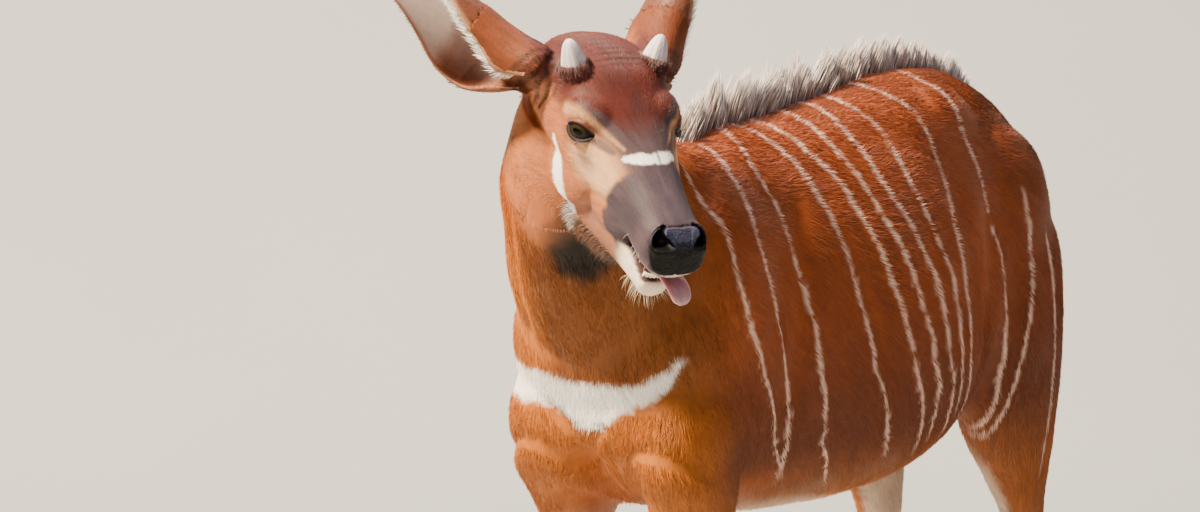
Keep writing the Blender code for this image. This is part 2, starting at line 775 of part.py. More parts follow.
def build_body():
    body = blended("body", body_pieces(), BODY_VOXEL, 8, BODY_SHARE)
    part_legs(body)
    cut(body, TAIL_CUT - Vector((0, GAP / 2, 0)), Vector((0, 1, 0)))
    neck_piece, torso = halves(body, *NECK_CUT, "neck", "torso")
    normal = HEAD_CUT_NORMAL.normalized()
    cut(neck_piece, in_head(*HEAD_CUT_AT) - normal * GAP / 2, normal)
    return torso


def crest_height(y):
    """The crest stands tallest over the withers and sinks towards the croup."""
    return float(np.interp(y, (-0.30, -0.22, 0.02, 0.22, 0.42), (0.030, 0.056, 0.052, 0.036, 0.022)))


def back_line(y):
    """Height of the back at y, on the trunk's own curve."""
    rows = hermite([(row[0], row[1]) for row in TRUNK], 60)
    return float(np.interp(y, rows[:, 0], rows[:, 1]))


def tail_locks():
    """A ring of locks that hang round the tail's end and splay a little at their points."""
    chance = random.Random(TUFT_SEED)
    locks = []
    for i in range(TUFT_COUNT):
        angle = 2 * math.pi * i / TUFT_COUNT
        out = np.array((math.cos(angle), math.sin(angle), 0.0))
        high = TUFT_TOP - TUFT_STEP * (i % 3)
        root = np.array((0.0, TUFT_Y, high)) + out * 0.004
        rise = out * 0.006 + np.array((0.0, 0.0, -TUFT_LENGTH * chance.uniform(0.9, 1.05)))
        droop = out * 0.004
        wide = np.array((-out[1], out[0], 0.0))
        locks.append(lock("tail_lock", root, rise, droop, wide, TUFT_HALF_WIDTH, TUFT_HALF_THICK))
    return locks


def lock(name, root, rise, droop, wide, half, thick):
    """A flat lock of hair: four-sided rings that widen a little, taper to a point and bend as they rise."""
    rings = []
    face = np.cross(rise, wide)
    face = face / np.linalg.norm(face)
    for share, broad in LOCK_SHAPE:
        centre = root + rise * share + droop * share * share
        across = wide * half * broad
        deep = face * thick * max(broad, LOCK_TIP)
        rings.append([centre + across, centre + deep, centre - across, centre - deep])
    return tube(name, rings)


def crest_locks():
    """Overlapping locks from the withers to the croup, leaning back and to either side by turns."""
    chance = random.Random(CREST_SEED)
    locks = []
    for i in range(CREST_COUNT):
        y = CREST_FROM + (CREST_TO - CREST_FROM) * i / (CREST_COUNT - 1)
        side = 1 if i % 2 else -1
        high = crest_height(y) * chance.uniform(0.88, 1.06)
        root = np.array((side * 0.0025, y, back_line(y) - CREST_SUNK))
        lean = (side * chance.uniform(0.0, 0.10), chance.uniform(0.12, 0.24), 1.0)
        rise = np.array(lean) * (high + CREST_SUNK)
        droop = np.array((side * chance.uniform(-0.04, 0.10), chance.uniform(0.10, 0.20), -0.03)) * high
        wide = np.array((side * chance.uniform(-0.15, 0.25), 1.0, 0.0))
        locks.append(lock("crest_lock", root, rise, droop, wide, CREST_HALF_WIDTH, CREST_HALF_THICK))
    return locks


def part_stump(head, name, piece_maker, point, axis):
    """Fuses a form to the head up to a plane, and returns what stands beyond the plane."""
    whole = piece_maker(name)
    low = copy_of(whole, "low")
    cut(whole, point + axis * GAP / 2, -axis)
    cut(low, point - axis * GAP / 2, axis)
    fuse(head, [low])
    return whole


def nostril(name, mirror):
    """A slanted comma-shaped hole beside the nose's tip."""
    made = ellipsoid(name, (0, 0, 0), (0.012, 0.0042, 0.0075), segments=16)
    turn = Matrix.Rotation(math.radians(-mirror * 28), 4, "Z") @ Matrix.Rotation(math.radians(35), 4, "Y")
    place = Matrix.Translation(Vector((0.2555, mirror * 0.0215, -0.0095)))
    made.data.transform(head_matrix() @ place @ turn)
    return made


def incisors():
    """Eight small lower teeth in an arc at the jaw's front rim."""
    made = []
    for i in range(8):
        angle = math.radians(-63 + 18 * i)
        f = 0.2185 + 0.0085 * math.cos(angle)
        l = 0.0140 * math.sin(angle)
        ahead = np.array(head_direction((math.cos(angle), math.sin(angle), 0.15)))
        side = np.array(head_direction((-math.sin(angle), math.cos(angle), 0)))
        rings = []
        for rise, half, thick in INCISOR:
            centre = np.array(in_head(f + rise * 0.4, l, -0.0715 + rise))
            rings.append(section(centre, side, ahead, half, thick, thick, 3, 8))
        made.append(tube("incisor", rings))
    return made


def open_eye(head, mirror):
    """Lids over the eye: a rounded swell, an almond opening in it and a socket for the ball."""
    out, wide, high = eye_axes(mirror)
    centre = in_head(EYE_AT[0], mirror * EYE_AT[1], EYE_AT[2])
    fuse(head, [eyeball("lids", mirror, EYE_RADIUS + LID)])
    start = centre + out * EYE_RADIUS * 0.62
    frame = [np.array(v) for v in (start, out, wide, high)]
    opening = lens("opening", *frame, EYE_OPENING[0], EYE_OPENING[1], 0.03)
    boolean(head, opening, "DIFFERENCE")
    bpy.data.objects.remove(opening)
    socket = eyeball("socket", mirror, EYE_RADIUS + GAP)
    boolean(head, socket, "DIFFERENCE")
    bpy.data.objects.remove(socket)
    keep_largest(head)


def build_head():
    head = blended("head", head_pieces(), HEAD_VOXEL, 5, HEAD_SHARE)
    normal = HEAD_CUT_NORMAL.normalized()
    cut(head, in_head(*HEAD_CUT_AT) + normal * GAP / 2, -normal)
    for name, form in (("ear_right", EAR_RIGHT), ("ear_left", EAR_LEFT)):
        axis = head_direction(form[1])
        point = in_head(*form[0]) + axis * EAR_STUMP
        part_stump(head, name, lambda n, form=form: ear(n, form), point, axis)
    for name, mirror in (("horn_right", -1), ("horn_left", 1)):
        point, axis = horn_foot(mirror)
        part_stump(head, name, lambda n, mirror=mirror: horn(n, mirror), point, axis)
    fuse(head, incisors())
    for mirror in (-1, 1):
        open_eye(head, mirror)
        hole = nostril("hole", mirror)
        boolean(head, hole, "DIFFERENCE")
        bpy.data.objects.remove(hole)
    room = tongue("room", GAP)
    boolean(head, room, "DIFFERENCE")
    bpy.data.objects.remove(room)
    return keep_largest(head)


def build_tail():
    whole = tail("tail")
    cut(whole, TAIL_CUT + Vector((0, GAP / 2, 0)), Vector((0, -1, 0)))
    return fuse(whole, tail_locks(), "MANIFOLD")


# Colour, roughness and what each is, by the start of a node's name.
FINISHES = {
    "torso": ("short chestnut coat", (0.36, 0.13, 0.045), 0.70),
    "neck": ("short orange coat", (0.50, 0.21, 0.07), 0.70),
    "head": ("short red-brown coat", (0.33, 0.12, 0.06), 0.68),
    "tongue": ("wet mauve tongue", (0.38, 0.22, 0.25), 0.35),
    "ear": ("thin furred skin", (0.45, 0.22, 0.11), 0.75),
    "eye": ("dark wet eye", (0.02, 0.014, 0.010), 0.08),
    "horn": ("young pale horn", (0.62, 0.56, 0.58), 0.50),
    "foreleg": ("short orange leg coat", (0.45, 0.19, 0.06), 0.70),
    "hindleg": ("short brown leg coat", (0.28, 0.10, 0.04), 0.70),
    "hoof": ("dark hoof horn", (0.045, 0.038, 0.035), 0.38),
    "tail": ("coarse tail hair", (0.20, 0.08, 0.04), 0.80),
}


def finish(obj):
    """Gives a node its own material, smooth faces and its place over the origin."""
    label, colour, roughness = FINISHES[obj.name.split("_")[0]]
    material = bpy.data.materials.new(obj.name + " " + label)
    material.use_nodes = True
    shader = material.node_tree.nodes["Principled BSDF"]
    shader.inputs["Base Color"].default_value = (*colour, 1.0)
    shader.inputs["Roughness"].default_value = roughness
    obj.data.materials.clear()
    obj.data.materials.append(material)
    obj.data.transform(Matrix.Translation((-CENTRE_X, -CENTRE_Y, 0)))
    obj.data.shade_smooth()
    obj.data.set_sharp_from_angle(angle=math.radians(50))


def clear_scene():
    for obj in list(bpy.data.objects):
        bpy.data.objects.remove(obj)


def main():
    clear_scene()
    torso = build_body()
    fuse(torso, crest_locks(), "MANIFOLD")
    build_head()
    for name, mirror in (("right", -1), ("left", 1)):
        eyeball("eye_" + name, mirror, EYE_RADIUS)
    tongue("tongue")
    build_tail()
    for name in STRIDE:
        mirror = 1 if name.endswith("left") else -1
        for side, inner in (("outer", -mirror), ("inner", mirror)):
            claw("hoof_%s_%s" % (name, side), name, mirror, inner)
    for obj in list(bpy.data.objects):
        finish(obj)


main()
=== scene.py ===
"""A bongo calf of about five months, standing with its head turned to its left and its tongue out.

The calf's own frame: +X is its left, -Y is ahead of it, +Z is up and the floor is at 0. Shapes are
worked out there in metres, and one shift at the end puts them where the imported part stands. The
skin is one hull round lofts of the trunk, neck, legs, tail and head. Short hair, the crest, the
ears, eyes, horns, hooves, nose, teeth and tongue are meshes of their own over it.
"""

import math

import bpy
import numpy as np
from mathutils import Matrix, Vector
from mathutils.bvhtree import BVHTree


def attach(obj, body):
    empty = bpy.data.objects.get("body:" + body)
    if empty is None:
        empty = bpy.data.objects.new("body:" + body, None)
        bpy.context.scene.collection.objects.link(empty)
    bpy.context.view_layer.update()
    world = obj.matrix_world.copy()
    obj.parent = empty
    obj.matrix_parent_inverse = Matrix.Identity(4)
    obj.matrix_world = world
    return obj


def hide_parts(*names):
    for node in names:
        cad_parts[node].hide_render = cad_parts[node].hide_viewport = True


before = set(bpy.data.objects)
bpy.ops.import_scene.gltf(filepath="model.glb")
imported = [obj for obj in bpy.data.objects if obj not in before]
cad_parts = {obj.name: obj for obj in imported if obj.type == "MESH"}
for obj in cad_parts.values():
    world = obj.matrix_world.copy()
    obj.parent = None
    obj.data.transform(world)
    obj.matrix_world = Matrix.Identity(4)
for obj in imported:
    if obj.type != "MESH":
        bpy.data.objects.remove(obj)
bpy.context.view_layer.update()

SHIFT = np.array((-0.0282, 0.0531, 0.0))

# The trunk is widest at this share of its height. Its rows, breast to buttock: y, back line, belly line, half
# width, squareness.
WIDEST_SHARE = 0.36
TRUNK = (
    (-0.415, 0.715, 0.560, 0.078, 2.2),
    (-0.370, 0.790, 0.520, 0.118, 2.2),
    (-0.300, 0.858, 0.490, 0.132, 2.2),
    (-0.200, 0.898, 0.468, 0.136, 2.1),
    (-0.100, 0.906, 0.458, 0.152, 2.1),
    (-0.010, 0.912, 0.454, 0.176, 2.1),
    (0.080, 0.922, 0.458, 0.184, 2.1),
    (0.170, 0.932, 0.474, 0.170, 2.1),
    (0.260, 0.934, 0.512, 0.148, 2.1),
    (0.345, 0.920, 0.560, 0.134, 2.1),
    (0.415, 0.886, 0.610, 0.116, 2.1),
    (0.462, 0.830, 0.660, 0.084, 2.1),
)
BREAST_ROUND = 0.022
BUTTOCK_ROUND = 0.018
# The neck: centre x, y, z, half width, rise to the crest, drop to the throat, turn in degrees.
NECK = (
    (0.000, -0.140, 0.700, 0.110, 0.180, 0.180, 0),
    (0.000, -0.255, 0.730, 0.124, 0.172, 0.185, 3),
    (-0.006, -0.350, 0.780, 0.116, 0.142, 0.155, 8),
    (-0.002, -0.415, 0.840, 0.096, 0.117, 0.122, 14),
    (0.012, -0.455, 0.900, 0.082, 0.094, 0.096, 24),
    (0.032, -0.482, 0.955, 0.066, 0.070, 0.074, 40),
)
NECK_RINGS = 60
# A left leg, downwards: height, x, y, half width, reach ahead, reach behind.
FORELEG = (
    (0.690, 0.066, -0.320, 0.040, 0.060, 0.070),
    (0.620, 0.080, -0.345, 0.046, 0.074, 0.080),
    (0.565, 0.086, -0.340, 0.047, 0.074, 0.080),
    (0.515, 0.087, -0.326, 0.043, 0.064, 0.070),
    (0.460, 0.084, -0.315, 0.036, 0.047, 0.050),
    (0.400, 0.081, -0.309, 0.0290, 0.0340, 0.0340),
    (0.350, 0.079, -0.307, 0.0265, 0.0280, 0.0275),
    (0.315, 0.078, -0.308, 0.0280, 0.0290, 0.0270),
    (0.283, 0.077, -0.306, 0.0250, 0.0245, 0.0240),
    (0.250, 0.076, -0.304, 0.0190, 0.0190, 0.0205),
    (0.170, 0.075, -0.303, 0.0178, 0.0172, 0.0200),
    (0.130, 0.075, -0.304, 0.0200, 0.0190, 0.0230),
    (0.105, 0.075, -0.307, 0.0245, 0.0220, 0.0255),
    (0.080, 0.075, -0.315, 0.0220, 0.0200, 0.0210),
    (0.060, 0.075, -0.322, 0.0258, 0.0235, 0.0225),
    (0.040, 0.075, -0.328, 0.0280, 0.0255, 0.0235),
)
HINDLEG = (
    (0.800, 0.066, 0.350, 0.050, 0.080, 0.085),
    (0.720, 0.084, 0.345, 0.062, 0.105, 0.118),
    (0.640, 0.092, 0.335, 0.062, 0.110, 0.130),
    (0.570, 0.094, 0.335, 0.055, 0.100, 0.124),
    (0.505, 0.092, 0.350, 0.046, 0.084, 0.102),
    (0.450, 0.088, 0.372, 0.037, 0.060, 0.072),
    (0.400, 0.084, 0.393, 0.0285, 0.0380, 0.0470),
    (0.355, 0.082, 0.403, 0.0255, 0.0275, 0.0300),
    (0.305, 0.080, 0.400, 0.0205, 0.0205, 0.0230),
    (0.220, 0.079, 0.389, 0.0188, 0.0185, 0.0210),
    (0.145, 0.078, 0.377, 0.0198, 0.0190, 0.0222),
    (0.112, 0.078, 0.371, 0.0245, 0.0220, 0.0258),
    (0.085, 0.078, 0.362, 0.0220, 0.0200, 0.0210),
    (0.062, 0.078, 0.354, 0.0258, 0.0235, 0.0225),
    (0.040, 0.078, 0.348, 0.0280, 0.0255, 0.0235),
)
# How far behind its rest each foot stands, and the height where a leg starts to lean there.
SHEAR_TOP = 0.66
STRIDE = {"foreleg_left": -0.120, "foreleg_right": 0.020, "hindleg_left": 0.060, "hindleg_right": -0.070}
# Muscles and bones that show through: centre, three half lengths, turn about X in degrees.
SHOULDER = ((0.076, -0.275, 0.690), (0.066, 0.095, 0.165), 24)
POINT_OF_SHOULDER = ((0.066, -0.352, 0.590), (0.070, 0.074, 0.088), 20)
BREAST = ((0.000, -0.358, 0.668), (0.125, 0.094, 0.146), 20)
HAUNCH = ((0.070, 0.330, 0.740), (0.078, 0.125, 0.130), -15)
HIP = ((0.050, 0.225, 0.870), (0.056, 0.080, 0.050), 0)
# The tail: y, z, radius.
TAIL = (
    (0.440, 0.836, 0.0215),
    (0.478, 0.830, 0.0190),
    (0.506, 0.808, 0.0160),
    (0.516, 0.760, 0.0130),
    (0.515, 0.700, 0.0110),
    (0.512, 0.640, 0.0100),
    (0.510, 0.590, 0.0110),
    (0.509, 0.545, 0.0080),
    (0.508, 0.510, 0.0030),
)

# The head's own frame: f ahead along the face, l to its left, u out of the forehead.
HEAD_AT = np.array((0.050, -0.500, 0.9775))
HEAD_TURN = math.radians(60)
HEAD_DROP = math.radians(34)
# The upper head and the lower jaw: f, u, half width, rise, drop, squareness.
SKULL = (
    (-0.055, -0.008, 0.044, 0.038, 0.046, 2.1),
    (-0.022, 0.000, 0.060, 0.052, 0.058, 2.4),
    (0.014, 0.005, 0.065, 0.056, 0.062, 2.6),
    (0.050, 0.005, 0.065, 0.056, 0.062, 2.6),
    (0.086, 0.000, 0.061, 0.048, 0.058, 2.5),
    (0.118, -0.006, 0.051, 0.042, 0.050, 2.4),
    (0.150, -0.012, 0.042, 0.037, 0.042, 2.3),
    (0.180, -0.017, 0.0375, 0.0340, 0.0360, 2.3),
    (0.208, -0.021, 0.0355, 0.0315, 0.0320, 2.4),
    (0.234, -0.024, 0.0355, 0.0295, 0.0300, 2.5),
    (0.252, -0.027, 0.0320, 0.0255, 0.0265, 2.4),
)
NOSE_ROUND = 0.008
JAW = (
    (0.000, -0.050, 0.036, 0.030, 0.040, 2.0),
    (0.030, -0.062, 0.040, 0.035, 0.051, 2.0),
    (0.060, -0.068, 0.040, 0.035, 0.057, 2.0),
    (0.100, -0.070, 0.036, 0.032, 0.055, 2.0),
    (0.140, -0.070, 0.029, 0.026, 0.045, 2.0),
    (0.175, -0.073, 0.0225, 0.0195, 0.0335, 2.0),
    (0.205, -0.078, 0.0200, 0.0125, 0.0235, 2.2),
    (0.227, -0.083, 0.0185, 0.0100, 0.0165, 2.2),
)
CHIN_ROUND = 0.008
# Swells of the head's left side: centre, three half lengths.
BROW = ((0.074, 0.034, 0.022), (0.036, 0.0310, 0.026))
CHEEK = ((0.070, 0.036, -0.048), (0.048, 0.019, 0.040))
LIP = ((0.134, 0.0200, -0.044), (0.052, 0.0180, 0.032))
NOSTRIL_WING = ((0.236, 0.0195, -0.009), (0.018, 0.0135, 0.0135))
# The plane where the neck's skin gives way to the head's: a place of it in the head's frame, and its normal in
# the calf's.
HEAD_EDGE_AT = (-0.012, 0.0, -0.118)
HEAD_EDGE_WAY = (0.48, -0.60, 0.64)

# The left eye: its centre, how far it is turned out from ahead, how its opening tilts, and the opening's half
# length and half height. LID is how thick the lid's swell of the skin is.
EYE_AT = (0.086, 0.0460, 0.014)
EYE_RADIUS = 0.0180
EYE_TURN_OUT = math.radians(62)
EYE_TILT = 0.16
EYE_OPENING = (0.0168, 0.0072)
LID = 0.0026
# The left horn, and the bony foot under it.
HORN_AT = (0.032, 0.045, 0.047)
HORN_LENGTH = 0.037
HORN_RADIUS = 0.0162
HORN_LEAN = (-0.43, 0.30, 0.85)
PEDICLE = 0.012
EAR_LENGTH = 0.225
EAR_WALL = 0.0034
EAR_BOW = 0.012
# Each ear in the head's frame: its root, the way along it and the way out of its opening.
EAR_RIGHT = ((-0.012, -0.070, 0.018), (-0.723, -0.681, 0.114), (0.632, -0.719, -0.288))
EAR_LEFT = ((0.000, 0.071, 0.010), (-0.688, 0.663, 0.295), (0.659, 0.741, -0.131))
# Along an ear: share of its length, half width, depth of the cup, half turn of its wall in degrees,
# lean of the strip to the rear.
EAR = (
    (0.00, 0.0270, 0.0270, 150, 0.0000),
    (0.12, 0.0415, 0.0310, 156, 0.0200),
    (0.25, 0.0545, 0.0340, 134, 0.0340),
    (0.40, 0.0590, 0.0340, 118, 0.0340),
    (0.58, 0.0535, 0.0320, 84, 0.0240),
    (0.76, 0.0400, 0.0240, 62, 0.0085),
    (0.90, 0.0240, 0.0130, 70, 0.0010),
    (1.00, 0.0050, 0.0040, 70, 0.0000),
)
# The tongue: f, l, u, half width, half thickness.
TONGUE = (
    (0.172, 0.002, -0.0600, 0.0100, 0.0042),
    (0.205, 0.004, -0.0600, 0.0125, 0.0042),
    (0.232, 0.007, -0.0618, 0.0135, 0.0038),
    (0.250, 0.010, -0.0640, 0.0135, 0.0034),
    (0.260, 0.012, -0.0680, 0.0125, 0.0030),
    (0.265, 0.014, -0.0735, 0.0100, 0.0026),
    (0.267, 0.015, -0.0780, 0.0045, 0.0020),
)
CLAW_HEIGHT = 0.0457
CLAW_SPREAD = 0.0142
# A claw, upwards: height, reach ahead, reach behind, half width, shift to the rear.
CLAW = (
    (0.0, 0.040, 0.030, 0.0140, -0.010),
    (0.004, 0.0405, 0.0305, 0.0142, -0.010),
    (0.022, 0.032, 0.028, 0.0138, -0.004),
    (CLAW_HEIGHT, 0.0235, 0.0235, 0.0128, 0.002),
)

VOXEL_SCALE = 1.0
BODY_VOXEL = 0.0076 * VOXEL_SCALE
BODY_SOFTENING = 6
HEAD_VOXEL = 0.0025 * VOXEL_SCALE
HEAD_SOFTENING = 7
BODY_COAT_DEPTH = 0.0024
HEAD_COAT_DEPTH = 0.0008
# Where the hulls meet: how far the head's skin sinks under the neck's, and how far the neck's rises over it.
HEAD_SKIN_SUNK = 0.0050
NECK_SKIN_RAISED = 0.0014
HAIRS = {
    "body": (236000, 60000), "head": (62000, 16000), "ear": (18000, 5000), "crest": (9000, 3000),
    "throat": (3600, 900), "tail": (1500, 500), "horn": (900, 260),
}
CREST_LOCKS = 58
WHISKERS = 90
LASHES = 46

# Colours of the coat as the eye sees them in even light, except the painted shade low on the flank, the head's
# painted shadow on the neck and the painted shadow under each eye.
CHESTNUT = "#924314"
FLANK_PAINTED_SHADE = "#3c1a08"
ORANGE = "#b3661d"
NAPE = "#a9572d"
RUMP = "#6a3010"
BELLY = "#3c2418"
STRIPE = "#e2bcab"
WHITE_HAIR = "#fbf8f4"
CREAM = "#e8d6c2"
BUFF = "#d6a87e"
OVER_EYE_BUFF = "#c08f66"
MAROON = "#551f17"
FOREHEAD_DARK = "#46201f"
FACE_SIDE = "#a96239"
FACE_DARK = "#4f4249"
EYE_HOLLOW_PAINTED_SHADOW = "#a07a6c"
MUZZLE = "#393039"
MUZZLE_RED = "#54414a"
JAW_BROWN = "#8a5f4e"
JAW_GREY = "#3d312b"
BLACK_HAIR = "#1d1714"
THROAT_BLACK = "#0d0a08"
NECK_PAINTED_SHADOW = "#3c1c08"
EAR_ROOT = "#703619"
LEG = "#a8602c"
GUM = "#3a1f22"


def linear(code):
    """An sRGB hex value as linear red, green and blue."""
    value = np.array([int(code[i:i + 2], 16) for i in (1, 3, 5)]) / 255
    return np.where(value <= 0.04045, value / 12.92, ((value + 0.055) / 1.055) ** 2.4)


def ease(low, high, value):
    """0 below low, 1 above high and a smooth S between them."""
    t = np.clip((value - low) / (high - low), 0, 1)
    return t * t * (3 - 2 * t)


def within(value, start, full, last, end):
    """1 from full to last, easing to 0 at start on one side and at end on the other."""
    return ease(start, full, value) * ease(end, last, value)


def bell(value, width):
    """1 where the value is 0, falling to about a third at this width on both sides."""
    return np.exp(-(value / width) ** 2)


def swell(place, centre, reach):
    """1 at a centre, falling as a bell does along each axis by its own reach."""
    a, b, c = ((place - centre) / reach).T
    return np.exp(-(a**2 + b**2 + c**2))


def patch(place, centre, reach, low, high):
    """1 round a centre and 0 far from it, fading between these two shares of its reach along each axis."""
    return 1 - ease(low, high, np.linalg.norm((place - centre) / reach, axis=1))


def mixed(colour, other, share):
    """Colours, or directions, moved towards another by a share that is given for each point."""
    return colour + (other - colour) * share[:, None]


def dyed(colour, code, share):
    """Colours moved towards an sRGB hex value by a share that is given for each point."""
    return mixed(colour, linear(code), share)


def painted(count, code):
    """One sRGB hex value as the linear colour of each of so many points."""
    return np.tile(linear(code), (count, 1))


def hair_count(part):
    """How many hairs are scattered over a part in this run."""
    return HAIRS[part][0]


def unit(v):
    """Vectors scaled to length 1."""
    v = np.asarray(v, float)
    return v / np.maximum(np.linalg.norm(v, axis=-1, keepdims=True), 1e-9)


def hermite(keys, count):
    """Rows that run smoothly through the key rows, count of them, evenly spread by key number."""
    keys = np.array(keys, float)
    n = len(keys)
    slope = np.gradient(keys, axis=0)
    at = np.linspace(0, n - 1, count)
    low = np.minimum(at.astype(int), n - 2)
    t = (at - low)[:, None]
    a, b, da, db = keys[low], keys[low + 1], slope[low], slope[low + 1]
    return (
        (2 * t**3 - 3 * t**2 + 1) * a
        + (t**3 - 2 * t**2 + t) * da
        + (-2 * t**3 + 3 * t**2) * b
        + (t**3 - t**2) * db
    )


def mottle(points, size, seed):
    """Smooth noise from 0 to 1: random values at the corners of cubes of this size, blended inside each."""
    at = points / size + 100.0
    cell = np.floor(at).astype(np.int64)
    t = at - cell
    t = t * t * (3 - 2 * t)
    total = np.zeros(len(points))
    for i in (0, 1):
        for j in (0, 1):
            for k in (0, 1):
                x, y, z = cell[:, 0] + i, cell[:, 1] + j, cell[:, 2] + k
                mix = (x * 73856093) ^ (y * 19349663) ^ (z * 83492791) ^ (seed * 2654435761)
                mix = ((mix ^ (mix >> 13)) * 1274126177) & 0x7FFFFFFF
                share = np.where(i, t[:, 0], 1 - t[:, 0]) * np.where(j, t[:, 1], 1 - t[:, 1])
                total += share * np.where(k, t[:, 2], 1 - t[:, 2]) * (mix / 0x7FFFFFFF)
    return total


def ripple(points, size, seed):
    """Smooth noise from -0.5 to 0.5."""
    return mottle(points, size, seed) - 0.5


def columns_at(value, rows):
    """The further columns of a table at a value of its first one."""
    rows = np.asarray(rows)
    return [np.interp(value, rows[:, 0], column) for column in rows[:, 1:].T]


def head_axes():
    """Rows are the head's ahead, left and up directions in the calf's frame."""
    level, high = np.array((math.sin(HEAD_TURN), -math.cos(HEAD_TURN), 0)), np.array((0, 0, 1.0))
    ahead = math.cos(HEAD_DROP) * level - math.sin(HEAD_DROP) * high
    up = math.sin(HEAD_DROP) * level + math.cos(HEAD_DROP) * high
    return np.array((ahead, np.cross(up, ahead), up))


HEAD = head_axes()
HEAD_EDGE_NORMAL = unit(HEAD_EDGE_WAY)


def from_head(points):
    """Carries (f, l, u) to the calf's frame."""
    return HEAD_AT + np.asarray(points, float) @ HEAD


def to_head(points):
    """Carries the calf's frame to (f, l, u)."""
    return (points - HEAD_AT) @ HEAD.T


def head_way(v):
    """A direction of the head's frame in the calf's."""
    return unit(np.asarray(v, float) @ HEAD)


def folded(place):
    """Places of the head's right half carried over to its left."""
    return np.stack((place[:, 0], np.abs(place[:, 1]), place[:, 2]), -1)


HEAD_EDGE = from_head(HEAD_EDGE_AT)


# Meshes


def grid_triangles(rows, columns, around=True):
    """Two triangles for each cell of a grid of points, which closes on itself along its columns."""
    spans = columns if around else columns - 1
    i, j = np.meshgrid(np.arange(rows - 1), np.arange(spans), indexing="ij")
    k = (j + 1) % columns
    a, b, c, d = i * columns + j, i * columns + k, (i + 1) * columns + k, (i + 1) * columns + j
    return np.concatenate((np.stack((a, b, c), -1).reshape(-1, 3), np.stack((a, c, d), -1).reshape(-1, 3)))


def capped(rings):
    """Points and triangles of a closed tube through rings, with a fan at each end."""
    rings = np.asarray(rings, float)
    rows, columns = rings.shape[:2]
    points = np.concatenate((rings.reshape(-1, 3), rings[:1].mean(1), rings[-1:].mean(1)))
    j = np.arange(columns)
    k = (j + 1) % columns
    first = np.stack((np.full(columns, rows * columns), k, j), -1)
    top = (rows - 1) * columns
    last = np.stack((np.full(columns, rows * columns + 1), top + j, top + k), -1)
    return points, outward(points, np.concatenate((grid_triangles(rows, columns), first, last)))


def outward(points, triangles):
    """The triangles of a closed surface, turned round if they enclose a negative volume."""
    a, b, c = (points[triangles[:, i]] for i in range(3))
    volume = np.einsum("ij,ij->i", a, np.cross(b, c)).sum()
    return triangles if volume > 0 else triangles[:, ::-1]


def joined(parts):
    """One pair of points and triangles from several."""
    points, triangles, base = [], [], 0
    for p, t in parts:
        points.append(p)
        triangles.append(t + base)
        base += len(p)
    return np.concatenate(points), np.concatenate(triangles)


def make_object(name, points, triangles):
    """A mesh object from an array of points in the calf's frame and an array of triangles."""
    mesh = bpy.data.meshes.new(name)
    mesh.vertices.add(len(points))
    mesh.vertices.foreach_set("co", np.ascontiguousarray(points + SHIFT, np.float32).ravel())
    mesh.loops.add(len(triangles) * 3)
    mesh.loops.foreach_set("vertex_index", np.ascontiguousarray(triangles, np.int32).ravel())
    mesh.polygons.add(len(triangles))
    mesh.polygons.foreach_set("loop_start", np.arange(0, len(triangles) * 3, 3, dtype=np.int32))
    mesh.update(calc_edges=True)
    made = bpy.data.objects.new(name, mesh)
    bpy.context.scene.collection.objects.link(made)
    return made


def piece(name, points, triangles, material, colour=None, smooth=True, uv=None, replaces=()):
    """A finished piece: its mesh, material, colours for each point, map, and the nodes that it stands for."""
    made = make_object(name, points, triangles)
    made.data.materials.append(material)
    if smooth:
        made.data.shade_smooth()
    else:
        made.data.shade_flat()
    if colour is not None:
        layer = made.data.attributes.new("hair", "FLOAT_COLOR", "POINT")
        rgba = np.concatenate((colour, np.ones((len(colour), 1))), axis=1)
        layer.data.foreach_set("color", rgba.astype(np.float32).ravel())
    if uv is not None:
        layer = made.data.uv_layers.new(name="OFBake")
        layer.data.foreach_set("uv", uv[triangles.ravel()].astype(np.float32).ravel())
    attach(made, "root")
    if replaces:
        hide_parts(*replaces)


def point_normals(points, triangles):
    """Each point's normal, from the areas and directions of the triangles round it."""
    a, b, c = (points[triangles[:, i]] for i in range(3))
    face = np.cross(b - a, c - a)
    total = np.zeros_like(points)
    for i in range(3):
        for axis in range(3):
            total[:, axis] += np.bincount(triangles[:, i], face[:, axis], len(points))
    return unit(total)


# Lofts of the body


def section(centre, side, up, half, rise, drop, power, segments):
    """One closed ring: a squared ellipse with its own reach up and down."""
    angle = np.linspace(0, 2 * math.pi, segments, endpoint=False)
    c, s = np.cos(angle), np.sin(angle)
    x = half * np.sign(c) * np.abs(c) ** (2 / power)
    y = np.where(s > 0, rise, drop) * np.sign(s) * np.abs(s) ** (2 / power)
    return centre + np.outer(x, side) + np.outer(y, up)


def rounded(row, reach, along):
    """End sections that close a loft in a quarter ellipse of this reach."""
    station, level, half, rise, drop, power = row
    added = []
    for angle in np.linspace(0.2, 1.45, 8):
        shrink = math.cos(angle)
        at = station + along * reach * math.sin(angle)
        added.append([at, level, half * shrink, rise * shrink, drop * shrink, power])
    return added


def slices_along(rows, start, side, up, along, count, segments, ends):
    """A loft along a straight axis. Rows are (station, level, half, rise, drop, squareness)."""
    rows = hermite(rows, count).tolist()
    if ends[0]:
        rows = rounded(rows[0], ends[0], -1)[::-1] + rows
    if ends[1]:
        rows = rows + rounded(rows[-1], ends[1], 1)
    start, side, up, along = (np.array(v, float) for v in (start, side, up, along))
    rings = [
        section(start + along * f + up * level, side, up, half, rise, drop, power, segments)
        for f, level, half, rise, drop, power in rows
    ]
    return capped(rings)


